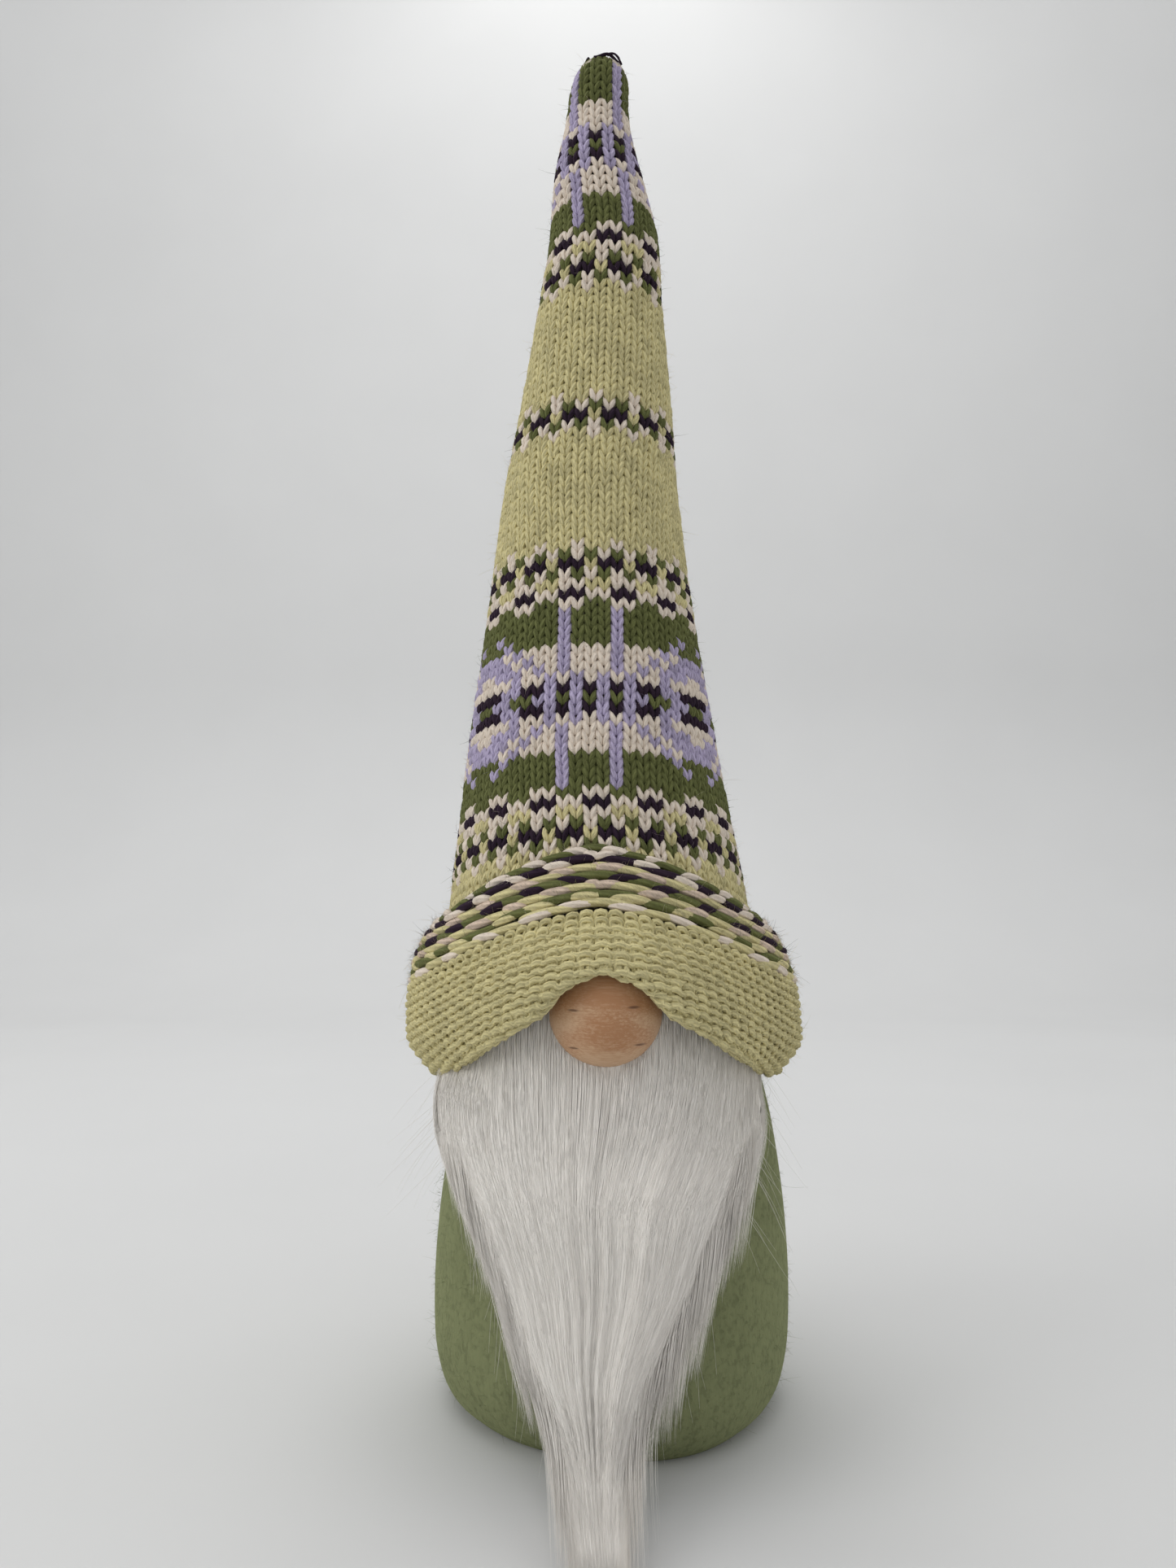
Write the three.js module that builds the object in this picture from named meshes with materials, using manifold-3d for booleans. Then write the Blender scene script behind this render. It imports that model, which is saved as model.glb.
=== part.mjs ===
// Tomte gnome figurine: a weighted felt body with a gathered neck, a long pile beard,
// a turned wooden nose and a tall hat made of a knitted sleeve with its end turned up.
// Millimetres, +Z up. The gnome looks along -Y and the origin is the middle of the
// base's underside. Azimuths are measured from the front, positive towards +X.

import * as THREE from 'three';
import { mergeVertices } from 'three/addons/utils/BufferGeometryUtils.js';
import Module from 'manifold-3d';

const wasm = await Module();
wasm.setup();

// ---- driving dimensions -------------------------------------------------------------

const GAP = 0.35;              // clearance between pieces that touch
const DEG = Math.PI / 180;
const ROUND = 32;              // facets round the big soft pieces

// body sack: [height, outside radius]
const BODY = [
  [0, 49.5], [3.5, 53.5], [10, 56.5], [20, 57.5], [50, 56.5], [85, 52.5], [105, 48],
  [125, 41], [143, 32], [156, 20], [164, 10.8], [170, 10.8], [180, 16],
];
const FELT = 1.8;              // felt thickness
const NECK_PLEATS = 8;
const PLEAT_DEPTH = 1.2;

// base
const BASE_RADIUS = 47;
const BASE_FELT = 2;
const BOARD_RADIUS = 44;
const BOARD = 2;
const THREAD = 0.5;            // sewing thread radius

// ballast bag: [height, outside radius]
const POUCH_NECK = 7;
const POUCH = [
  [4.8, 42], [8, 50], [20, 53], [33, 50], [41, 36], [45.5, 14], [48, POUCH_NECK],
  [52.5, POUCH_NECK], [57, 9.5],
];
const MUSLIN = 0.8;

// hat: [height, outside radius of the single knitted layer] beside the gnome
const HAT = [
  [96, 57.5], [104, 59.5], [112, 60], [128, 59], [140, 56], [152, 50.3], [163, 48.6],
  [185, 45.1], [210, 41.5], [252, 35.2], [303, 29], [356, 22.4], [391, 18.5], [410, 15.4],
  [428, 11.6], [444, 10.2],
];
const HAT_TOP = 453;
const CROWN_START = 441;       // the tip is rounded from here up
const KNIT = 2.5;              // thickness of one knitted layer
// the hat leans a little: [height, sideways place of its middle]
const LEAN = [
  [90, -1.5], [120, -2.5], [170, -4.5], [210, -6], [290, -6.6], [325, -4.7], [365, -3],
  [385, -2], [412, -4], [432, -4], [455, -2.2],
];

// nose: a drilled wooden bead
const NOSE = { x: -2.6, y: -60.5, z: 127.1, radius: 16, bore: 2, flat: 15.6 };
const BULGE = 20.5;            // how far the cuff is pushed forward over the nose

// turned-up cuff
const CUFF_BACK_Z = 98;        // lower edge beside and behind the gnome
const CUFF_ARCH = 39;          // how much higher the lower edge is over the nose
const CUFF_TOP_Z = 141;
const CUFF_TOP_ARCH = 31;
const CUFF_CLEAR = 1.4;        // between the two layers
const CUFF_THICK = 4;
const CUFF_ROLL = 1.6;         // extra thickness of the rolled upper edge

// beard
const SWING = { y: -58, z: 98 };    // the line at which the fur starts to hang free
const FUR_BACKING = 1.5;
const GLUE = 0.6;
const ROOT_ANGLE = 60;         // degrees to each side
const ROOT_LOW = SWING.z + 1;
const ROOT_HIGH = 130;
// hanging pile, down its middle: [share of its length, y at the back, z, y in front, z,
// half width, middle x]
const PILE = [
  [0, SWING.y + 0.4, SWING.z - 1.6, -73.5, 83.5, 44, -3.5],
  [0.2, -61, 78, -76.5, 72, 40, -3.8],
  [0.42, -62.4, 55, -77.5, 54, 31, -5],
  [0.62, -63.4, 33, -78.5, 35, 21.5, -4.4],
  [0.78, -65.5, 15, -82, 20, 16, -4],
  [0.9, -81, 2.4, -92, 12.5, 12, -3.4],
  [1, -110, 1.6, -111, 5, 5, -2],
];
const PILE_EDGE = 2.5;         // pile thickness left at its side edges

// ---- small helpers ------------------------------------------------------------------

// smooth value of column `col` of a table whose first column rises
function along(table, at, col = 1) {
  const last = table.length - 1;
  const t = Math.min(Math.max(at, table[0][0]), table[last][0]);
  let i = 0;
  while (i < last - 1 && t > table[i + 1][0]) i += 1;
  const slope = (j) => {
    const a = table[Math.max(j - 1, 0)];
    const b = table[Math.min(j + 1, last)];
    return (b[col] - a[col]) / (b[0] - a[0]);
  };
  const [p, q] = [table[i], table[i + 1]];
  const h = q[0] - p[0];
  const s = (t - p[0]) / h;
  const rise = (q[col] - p[col]) * s * s * (3 - 2 * s);
  return p[col] + rise + h * s * (1 - s) * (slope(i) * (1 - s) - slope(i + 1) * s);
}

// 0 at a and 1 at b, eased at both ends; a may be the larger
function smooth(a, b, v) {
  const s = THREE.MathUtils.clamp((v - a) / (b - a), 0, 1);
  return s * s * (3 - 2 * s);
}

// a lathe about +Z; azimuth 0 is the front
function turned(points, sides = ROUND) {
  const profile = points.map(([r, z]) => new THREE.Vector2(r, z));
  return facingOut(new THREE.LatheGeometry(profile, sides).rotateX(Math.PI / 2));
}

// moves every vertex of a geometry by a function and keeps its faces pointing out
function reshaped(geometry, place) {
  const shape = geometry.clone();
  shape.deleteAttribute('normal');
  shape.deleteAttribute('uv');
  const spots = shape.attributes.position;
  for (let i = 0; i < spots.count; i += 1) {
    spots.setXYZ(i, ...place(spots.getX(i), spots.getY(i), spots.getZ(i)));
  }
  const closed = mergeVertices(shape, 1e-4);
  return facingOut(closed);
}

function facingOut(geometry) {
  const spots = geometry.attributes.position;
  const index = geometry.index.array;
  const corner = [0, 1, 2].map(() => new THREE.Vector3());
  let volume = 0;
  for (let i = 0; i < index.length; i += 3) {
    corner.forEach((v, k) => v.fromBufferAttribute(spots, index[i + k]));
    volume += corner[0].dot(corner[1].cross(corner[2]));
  }
  if (volume < 0) {
    for (let i = 0; i < index.length; i += 3) {
      [index[i], index[i + 1]] = [index[i + 1], index[i]];
    }
  }
  geometry.computeVertexNormals();
  return geometry;
}

// a closed ring whose section is given by offset and height, both placed by a function
const NOMINAL = 100;           // radius of the plain ring before it is reshaped
function ring(section, place, sides = ROUND) {
  const loop = [...section, section[0]];
  const plain = turned(loop.map(([offset, height]) => [NOMINAL + offset, height]), sides);
  return reshaped(plain, (x, y, z) => {
    const azimuth = Math.atan2(x, -y);
    return place(azimuth, Math.hypot(x, y) - NOMINAL, z);
  });
}

// a block bent into shape: u runs across (-1 to 1), t through and v down (0 to 1)
function bent(cells, place) {
  const block = new THREE.BoxGeometry(2, 1, 1, ...cells);
  return reshaped(block, (x, y, z) => place(x, y + 0.5, 0.5 - z));
}

// a round cord along points
function cord(points, radius, count, sides = 6) {
  const corners = steps(0, 2 * Math.PI, sides).slice(1).map(
    (a) => new THREE.Vector2(radius * Math.cos(a), radius * Math.sin(a)),
  );
  const path = new THREE.CatmullRomCurve3(points);
  const options = { steps: count, extrudePath: path, bevelEnabled: false };
  return new THREE.ExtrudeGeometry(new THREE.Shape(corners), options);
}

function solid(geometry) {
  const bare = geometry.clone();
  bare.deleteAttribute('normal');
  bare.deleteAttribute('uv');
  const closed = mergeVertices(bare, 1e-4);
  const mesh = new wasm.Mesh({
    numProp: 3,
    vertProperties: new Float32Array(closed.attributes.position.array),
    triVerts: new Uint32Array(closed.index.array),
  });
  return new wasm.Manifold(mesh);
}

function shapeOf(manifold) {
  const mesh = manifold.getMesh();
  const geometry = new THREE.BufferGeometry();
  geometry.setAttribute('position', new THREE.BufferAttribute(mesh.vertProperties, 3));
  geometry.setIndex(new THREE.BufferAttribute(mesh.triVerts, 1));
  geometry.computeVertexNormals();
  return geometry;
}

// even steps from a to b, both included
function steps(a, b, count) {
  return Array.from({ length: count + 1 }, (_, i) => a + ((b - a) * i) / count);
}

const group = new THREE.Group();

function add(name, geometry, colour, roughness, metalness = 0) {
  const material = new THREE.MeshStandardMaterial({ color: colour, roughness, metalness });
  const mesh = new THREE.Mesh(geometry, material);
  mesh.name = name;
  group.add(mesh);
  return mesh;
}

// ---- shapes shared by several pieces ------------------------------------------------

const bodyRadius = (z) => along(BODY, z);

// outside of the hat's single layer, pushed forward over the nose
function hatRadius(azimuth, z) {
  const angle = azimuth / DEG;
  const push = BULGE * Math.exp(-((angle / 30) ** 2)) * smooth(178, 132, z);
  return along(HAT, z) + push;
}

const hatMiddle = (z) => along(LEAN, z);

function cuffLow(azimuth) {
  const angle = Math.abs(azimuth / DEG);
  return CUFF_BACK_Z + CUFF_ARCH * Math.exp(-((angle / 33.5) ** 1.32));
}

function cuffHigh(azimuth) {
  return CUFF_TOP_Z + CUFF_TOP_ARCH * Math.exp(-((Math.abs(azimuth / DEG) / 64) ** 1.6));
}

function hatPoint(azimuth, radius, z) {
  return [hatMiddle(z) + radius * Math.sin(azimuth), -radius * Math.cos(azimuth), z];
}

// ---- body ---------------------------------------------------------------------------

function bodySack() {
  const heights = [0, 3.5, 10, 20, 36, 52, 68, 85, 96, 106, 116, 126, 135, 143, 150, 156,
    160, 164, 170, 175, 180];
  const outside = heights.map((z) => [0, z]);
  const inside = heights.map((z) => [-FELT, z]).reverse();
  return ring([...outside, ...inside], (azimuth, offset, z) => {
    const pleat = PLEAT_DEPTH * Math.cos(NECK_PLEATS * azimuth) * smooth(157, 180, z);
    const radius = bodyRadius(z) + offset + pleat;
    return [radius * Math.sin(azimuth), -radius * Math.cos(azimuth), z];
  });
}

function bodyStuffing() {
  const low = 37;
  const high = 150;
  const side = steps(low, high, 12).map((z) => [bodyRadius(z) - FELT - 0.6, z]);
  return turned([[0, 59], [13, 58], [38, 47], ...side, [0, high + 2]], 32);
}

function ballastPouch() {
  const side = POUCH.map(([z, r]) => [r, z]);
  const inner = POUCH.slice(1).map(([z, r]) => [r - MUSLIN, z]).reverse();
  return turned([[0, 4.8], ...side, ...inner, [41.2, 4.8 + MUSLIN], [0, 4.8 + MUSLIN]], 32);
}

function ballastFill() {
  const shrink = MUSLIN + GAP;
  const low = POUCH[0][0] + shrink;
  const side = POUCH.slice(1, 6).map(([z, r]) => [r - shrink - 0.3, z]);
  return turned([[0, low], [40.5, low], ...side, [5, 46.5], [0, 46.5]], 32);
}

function torus(radius, thickness, z, sides = 24) {
  const corners = 6;
  const section = steps(0, 2 * Math.PI, corners).map((a) => [
    radius + thickness * Math.cos(a), z + thickness * Math.sin(a),
  ]);
  section[corners] = section[0];
  return turned(section, sides);
}

// twine: two turns side by side and a flat knot at the back
function neckTie() {
  const twine = 1.1;
  const middle = 167;
  const radius = 10.8 + PLEAT_DEPTH + twine + GAP + 0.2;
  const turns = solid(torus(radius, twine, middle - 1.0)).add(
    solid(torus(radius, twine, middle + 1.0)),
  );
  const knot = new THREE.SphereGeometry(2.6, 12, 8).translate(0, radius + 1.6, middle);
  return shapeOf(turns.add(solid(knot)));
}

// a vertical row of thread just outside the sack's back seam
function backSeam() {
  const points = steps(5, 155, 10).map((z) => {
    const z1 = Math.min(z, 152);
    return new THREE.Vector3(0, bodyRadius(z1) + THREAD + 0.8, z1);
  });
  return cord(points.slice(0, 10), THREAD, 24);
}

// ---- nose ---------------------------------------------------------------------------

function noseBead() {
  const { radius, bore, flat } = NOSE;
  const edge = Math.acos(flat / radius);
  const arc = steps(edge, Math.PI - edge, 14).map((a) => [
    radius * Math.sin(a), radius * Math.cos(a),
  ]);
  const profile = [[bore, flat], ...arc, [bore, -flat], [bore, flat]];
  return turned(profile, 32).rotateY(Math.PI / 2).translate(NOSE.x, NOSE.y, NOSE.z);
}

// the dab of glue fills the space between the bead and the fur's backing
function noseGlue() {
  const blob = new THREE.SphereGeometry(7, 16, 10).scale(1, 0.72, 1);
  const dab = solid(blob.translate(NOSE.x, -46, NOSE.z - 2));
  const bead = solid(new THREE.SphereGeometry(NOSE.radius + GAP, 28, 18).translate(
    NOSE.x, NOSE.y, NOSE.z,
  ));
  const backing = solid(turned([
    [0, 90], ...steps(90, 150, 12).map((z) => [
      bodyRadius(z) + GLUE + FUR_BACKING + 3 * GAP, z,
    ]), [0, 150],
  ], 48));
  return shapeOf(dab.subtract(bead).subtract(backing));
}

// ---- beard --------------------------------------------------------------------------

// a band of the body's own shape, between two offsets from the felt
function rootBand(inner, outer) {
  return bent([14, 1, 4], (u, t, v) => {
    const azimuth = u * ROOT_ANGLE * DEG;
    const z = THREE.MathUtils.lerp(ROOT_HIGH, ROOT_LOW, v);
    const radius = bodyRadius(z) + THREE.MathUtils.lerp(inner, outer, t);
    return [radius * Math.sin(azimuth), -radius * Math.cos(azimuth), z];
  });
}

// pile standing on the glued part of the fur, with a seat for the bead
function rootPile() {
  const start = GLUE + FUR_BACKING + 3 * GAP;
  const block = bent([16, 2, 6], (u, t, v) => {
    const azimuth = u * ROOT_ANGLE * DEG;
    const z = THREE.MathUtils.lerp(ROOT_HIGH, ROOT_LOW, v);
    const inner = bodyRadius(z) + start;
    const full = 50 + 16 * Math.exp(-((azimuth / DEG / 32) ** 2));
    const outer = THREE.MathUtils.lerp(Math.min(full, 57), full, smooth(99, 114, z));
    const radius = THREE.MathUtils.lerp(inner, outer, t);
    return [radius * Math.sin(azimuth), -radius * Math.cos(azimuth), z];
  });
  const room = new THREE.SphereGeometry(NOSE.radius + 0.6, 24, 16);
  const glueRoom = new THREE.SphereGeometry(7.6, 20, 12).scale(1, 0.76, 1);
  return shapeOf(solid(block)
    .subtract(solid(room.translate(NOSE.x, NOSE.y, NOSE.z)))
    .subtract(solid(glueRoom.translate(NOSE.x, -46, NOSE.z - 2))));
}

// how far a sheet falls back at x when it wraps round the body
function wrap(x, radius) {
  return radius - Math.sqrt(Math.max(radius * radius - x * x, 0));
}

// leather-like backing of the hanging part: a tongue that narrows downwards
function flapBacking() {
  return bent([12, 1, 6], (u, t, v) => {
    const z = THREE.MathUtils.lerp(SWING.z - 1.5, 28, v);
    const half = THREE.MathUtils.lerp(42, 7, v ** 1.1);
    const x = u * half - 3.5 * v;
    const back = bodyRadius(z) + 1.2 + 2.3 * smooth(97, 85, z);
    return [x, -back + wrap(x, back) - t * FUR_BACKING, z];
  });
}

function flapPile() {
  return bent([10, 2, 14], (u, t, v) => {
    const [yBack, zBack, yFront, zFront, half, middle] = [1, 2, 3, 4, 5, 6].map(
      (col) => along(PILE, v, col),
    );
    const x = middle + u * half;
    const curl = wrap(x, -yBack) * smooth(1, 0.7, v);
    const depth = (yBack - yFront) * (1 - u * u) + PILE_EDGE * u * u;
    return [x, yBack + curl - t * depth, THREE.MathUtils.lerp(zBack, zFront, t)];
  });
}

// ---- hat ----------------------------------------------------------------------------

// crown outline above CROWN_START: a quarter of an ellipse
function crown(radius, top, count) {
  const height = top - CROWN_START;
  return steps(0, Math.PI / 2, count).map((a) => [
    radius * Math.cos(a), CROWN_START + height * Math.sin(a),
  ]);
}

function hatCone() {
  const heights = [172, 185, 204, 226, 252, 285, 320, 356, 391, 410, 426];
  // the lowest rows follow the arched lower edge, the others are level
  const edge = 8;
  const levels = edge + heights.length;
  const levelAt = (row, azimuth) => {
    if (row >= edge) return heights[row - edge];
    const low = cuffLow(azimuth) + 2;
    return THREE.MathUtils.lerp(low, 166, row / (edge - 1));
  };
  const outer = [...Array(levels).keys()].map((row) => [NOMINAL, row]);
  const topRadius = along(HAT, CROWN_START);
  const crownOut = crown(topRadius, HAT_TOP, 4);
  const crownIn = crown(topRadius - KNIT, HAT_TOP - KNIT, 3).reverse();
  const last = levels - 1;
  const profile = [
    ...outer,
    ...crownOut.map((_, i) => [i === 4 ? 0 : NOMINAL - 10 - i, last + 1 + i]),
    ...crownIn.map((_, i) => [i === 0 ? 0 : NOMINAL - 40 + i, last + 20 + i]),
    ...outer.map(([, row]) => [NOMINAL - 50, row]).reverse(),
    outer[0],
  ];
  return reshaped(turned(profile), (x, y, row) => {
    const azimuth = Math.atan2(x, -y);
    const level = Math.round(row);
    if (level > last) {
      const inside = level >= last + 20;
      const [radius, z] = inside ? crownIn[level - last - 20] : crownOut[level - last - 1];
      return hatPoint(azimuth, radius, z);
    }
    const z = levelAt(level, azimuth);
    const inner = Math.hypot(x, y) < NOMINAL - 45;
    return hatPoint(azimuth, hatRadius(azimuth, z) - (inner ? KNIT : 0), z);
  });
}

// the turned-up end: a band round the hat with a full lower fold and a rolled upper edge
function hatCuff() {
  const shares = [0.015, 0.09, 0.25, 0.45, 0.65, 0.8, 0.91, 0.985];
  const fat = (v) => {
    const ends = Math.min(1, Math.sqrt(Math.min(v, 1 - v) / 0.09 + 0.02));
    return (CUFF_THICK + CUFF_ROLL * smooth(0.7, 0.9, v)) * ends;
  };
  const outside = shares.map((v) => [fat(v), v]);
  const inside = [0.93, 0.78, 0.63, 0.48, 0.33, 0.18, 0.05].map((v) => [0, v]);
  return ring([...outside, ...inside], (azimuth, offset, v) => {
    const z = THREE.MathUtils.lerp(cuffLow(azimuth), cuffHigh(azimuth), v);
    return hatPoint(azimuth, hatRadius(azimuth, z) + CUFF_CLEAR + offset, z);
  });
}

// how far inside the knitting's outer face the filling ends: a little more over the seam
function fillingRoom(azimuth) {
  return KNIT + 0.9 + 1.3 * smooth(2.7, 3.05, Math.abs(azimuth));
}

// fibre filling, with a socket that goes over the neck
function hatStuffing() {
  const low = 147;
  const heights = [low, 151, 155, 160, 166, 172, 185, 204, 226, 252, 285, 320, 356, 391, 410,
    426, 436];
  const socket = [[0, 182], [18.6, 181.5], [19.4, 166], [23, 157], [28.5, 151], [34, low]];
  const side = heights.map((z) => [NOMINAL, z]);
  const shape = turned([...socket, ...side, [0, 443]]);
  return reshaped(shape, (x, y, z) => {
    const azimuth = Math.atan2(x, -y);
    if (Math.hypot(x, y) > NOMINAL / 2) {
      return hatPoint(azimuth, hatRadius(azimuth, z) - fillingRoom(azimuth), z);
    }
    return [x + (z > 440 ? hatMiddle(z) : 0), y, z];
  });
}

// the sleeve's own seam, on the inside at the back
function hatSeam() {
  const points = steps(150, 434, 16).map((z) => {
    const radius = hatRadius(Math.PI, z) - KNIT - THREAD - GAP - 0.2;
    return new THREE.Vector3(...hatPoint(Math.PI, radius, z));
  });
  return cord(points, THREAD, 32);
}

// yarn drawn through the last round of stitches to close the tip
function tipYarn() {
  const radius = 7.6;
  const share = radius / along(HAT, CROWN_START);
  const surface = CROWN_START + (HAT_TOP - CROWN_START) * Math.sqrt(1 - share * share);
  return torus(radius, THREAD, surface + THREAD + 0.9, 20).translate(hatMiddle(452), 0, 0);
}

// ---- assembly -----------------------------------------------------------------------

add('base_disc', turned([[0, 0], [BASE_RADIUS, 0], [BASE_RADIUS, BASE_FELT], [0, BASE_FELT]]),
  0x6d7350, 0.95);
const boardLow = BASE_FELT + GAP;
add('base_stiffener', turned([
  [0, boardLow], [BOARD_RADIUS, boardLow], [BOARD_RADIUS, boardLow + BOARD],
  [0, boardLow + BOARD],
]), 0xa98f6c, 0.9);
add('base_seam_thread', torus(BOARD_RADIUS + 1.6, THREAD, boardLow + THREAD, 32), 0x6a7048, 0.8);
add('ballast_pouch', ballastPouch(), 0xd9cfb8, 0.95);
add('ballast_fill', ballastFill(), 0xb9a583, 0.8);
add('pouch_tie', torus(POUCH_NECK + 1.1 + GAP, 1.0, 50.2, 24), 0xb39b6a, 0.9);
add('body_stuffing', bodyStuffing(), 0xe9e7e0, 1.0);
add('body_sack', bodySack(), 0x7c8358, 0.95);
add('back_seam_thread', backSeam(), 0x6a7048, 0.8);
add('neck_tie', neckTie(), 0xb39b6a, 0.9);
add('beard_glue_strip', rootBand(GAP, GAP + GLUE), 0xe6e0cc, 0.4);
add('beard_root_backing', rootBand(2 * GAP + GLUE, 2 * GAP + GLUE + FUR_BACKING), 0xcfc8bd, 0.9);
add('beard_root_pile', rootPile(), 0xd8d3cc, 0.8);
add('nose_bead', noseBead(), 0xc79d74, 0.55);
add('nose_glue_dab', noseGlue(), 0xe6e0cc, 0.4);
add('beard_flap_backing', flapBacking(), 0xcfc8bd, 0.9);
add('beard_flap_pile', flapPile(), 0xd8d3cc, 0.8);
add('hat_knit_cone', hatCone(), 0xaab083, 0.95);
add('hat_cuff', hatCuff(), 0xb3ba86, 0.95);
add('hat_stuffing', hatStuffing(), 0xe9e7e0, 1.0);
add('hat_seam_thread', hatSeam(), 0x9aa070, 0.8);
add('tip_gather_yarn', tipYarn(), 0x4b3a55, 0.95);

export default group;
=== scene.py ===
"""Tomte gnome figurine in full detail: a stuffed felt body with a long pile beard, a turned
wooden nose and a tall hat made of a knitted sleeve, on a plain pale studio floor."""
import math

import bpy
import numpy as np
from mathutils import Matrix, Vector


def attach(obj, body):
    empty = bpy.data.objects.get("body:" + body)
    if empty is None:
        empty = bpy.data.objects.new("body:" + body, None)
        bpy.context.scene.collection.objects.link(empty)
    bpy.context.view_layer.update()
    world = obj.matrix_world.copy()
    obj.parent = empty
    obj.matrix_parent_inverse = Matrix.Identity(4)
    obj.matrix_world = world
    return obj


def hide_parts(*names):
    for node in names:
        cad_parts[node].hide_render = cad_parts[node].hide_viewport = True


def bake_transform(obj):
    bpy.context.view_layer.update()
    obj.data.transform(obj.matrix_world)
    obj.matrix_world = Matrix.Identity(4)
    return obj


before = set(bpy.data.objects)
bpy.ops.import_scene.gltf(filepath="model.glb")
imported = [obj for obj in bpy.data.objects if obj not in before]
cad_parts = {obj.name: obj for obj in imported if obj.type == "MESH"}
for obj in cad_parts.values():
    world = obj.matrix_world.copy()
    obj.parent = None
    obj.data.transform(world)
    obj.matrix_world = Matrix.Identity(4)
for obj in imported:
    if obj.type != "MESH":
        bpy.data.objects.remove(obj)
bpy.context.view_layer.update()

MM = 0.001
TAU = 2 * math.pi

# ---- main shapes, close to the CAD model's, in millimetres ---------------------------------

# body sack: [height, outside radius]
BODY = [
    [0, 46.5], [3.5, 51], [10, 54.6], [22, 57], [50, 56.5], [85, 52.5], [105, 48],
    [125, 41], [143, 32], [156, 20], [164, 10.8], [170, 10.8], [180, 16],
]
# hat: [height, outside radius of the single knitted layer]
HAT = [
    [96, 57.5], [104, 59.5], [112, 60], [128, 59], [140, 56], [152, 50.3], [163, 48.6],
    [185, 45.1], [210, 41.5], [252, 35.2], [303, 29], [356, 22.4], [391, 18.5], [410, 15.4],
    [428, 11.6], [441, 10.4],
]
HAT_TOP = 453
CROWN_START = 441
# the hat leans a little: [height, sideways place of its middle]
LEAN = [
    [90, -1.5], [120, -2.5], [170, -4.5], [210, -6], [290, -6.6], [325, -4.7], [365, -3],
    [385, -2], [412, -4], [432, -4], [455, -2.2],
]
BULGE = 20.5                   # how far the cuff is pushed forward over the nose
# hanging pile down its middle: [share of its length, y at the back, z, y in front, z,
# half width, middle x]
PILE = [
    [0, -57.6, 96.4, -73.5, 83.5, 49.5, -5],
    [0.2, -61, 78, -76.5, 72, 40.8, -5.2],
    [0.42, -62.4, 55, -77.5, 54, 31.2, -4.9],
    [0.62, -63.4, 33, -78.5, 35, 20.4, -6.4],
    [0.78, -65.5, 15, -82, 20, 11.6, -5.8],
    [0.9, -81, 2.4, -92, 12.5, 7.9, -5.4],
    [1, -110, 1.6, -111, 5, 6, -4.4],
]
NOSE = np.array([-2.6, -60.5, 127.1])
NOSE_RADIUS = 16

# ---- camera -------------------------------------------------------------------------------

SENSOR = 36
FOCAL_SHARE = 0.727            # focal length over the picture's height
CAMERA_PLACE = (-0.0075, -0.3835, 0.1634)
CAMERA_PITCH = 94.75           # degrees up from straight down


def add_camera():
    data = bpy.data.cameras.new("camera")
    data.sensor_width = SENSOR
    data.lens = SENSOR * FOCAL_SHARE
    camera = bpy.data.objects.new("camera", data)
    camera.location = CAMERA_PLACE
    camera.rotation_euler = (math.radians(CAMERA_PITCH), 0, 0)
    bpy.context.collection.objects.link(camera)
    bpy.context.scene.camera = camera


add_camera()

# ---- numbers ------------------------------------------------------------------------------

rng = np.random.default_rng(529)


def along(table, at, col=1):
    """Smooth value of a table's column where its first column is `at`."""
    rows = np.array(table, float)
    x, y = rows[:, 0], rows[:, col]
    slope = np.empty_like(y)
    slope[1:-1] = (y[2:] - y[:-2]) / (x[2:] - x[:-2])
    slope[0] = (y[1] - y[0]) / (x[1] - x[0])
    slope[-1] = (y[-1] - y[-2]) / (x[-1] - x[-2])
    at = np.clip(at, x[0], x[-1])
    i = np.clip(np.searchsorted(x, at, side="right") - 1, 0, len(x) - 2)
    h = x[i + 1] - x[i]
    s = (at - x[i]) / h
    rise = (y[i + 1] - y[i]) * s * s * (3 - 2 * s)
    return y[i] + rise + h * s * (1 - s) * (slope[i] * (1 - s) - slope[i + 1] * s)


def smooth(a, b, v):
    """0 at a and 1 at b, eased at both ends; a may be the larger."""
    s = np.clip((v - a) / (b - a), 0, 1)
    return s * s * (3 - 2 * s)


def mix(a, b, share):
    return a + (b - a) * share


def unit(v):
    return v / np.maximum(np.linalg.norm(v, axis=-1, keepdims=True), 1e-9)


def run_along(path):
    """Length along a path up to each of its points."""
    return np.concatenate([[0], np.cumsum(np.linalg.norm(np.diff(path, axis=0), axis=1))])


class Ripple:
    """A smooth random surface over two coordinates, made of a few sine waves."""

    def __init__(self, seed, waves, slowest, fastest, second=1.0):
        draw = np.random.default_rng(seed)
        self.first = np.geomspace(slowest, fastest, waves)
        self.first *= draw.choice([-1, 1], waves) * draw.uniform(0.8, 1.2, waves)
        self.second = second * draw.uniform(-1, 1, waves)
        self.phase = draw.uniform(0, TAU, waves)
        self.size = (np.abs(self.first) / slowest) ** -0.5
        self.size /= np.sqrt((self.size ** 2).sum() / 2)

    def __call__(self, a, b):
        a, b = np.broadcast_arrays(np.asarray(a, float), np.asarray(b, float))
        total = np.zeros(a.shape)
        for f, g, p, size in zip(self.first, self.second, self.phase, self.size):
            total += size * np.sin(f * a + g * b + p)
        return total


# ---- meshes -------------------------------------------------------------------------------


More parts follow.
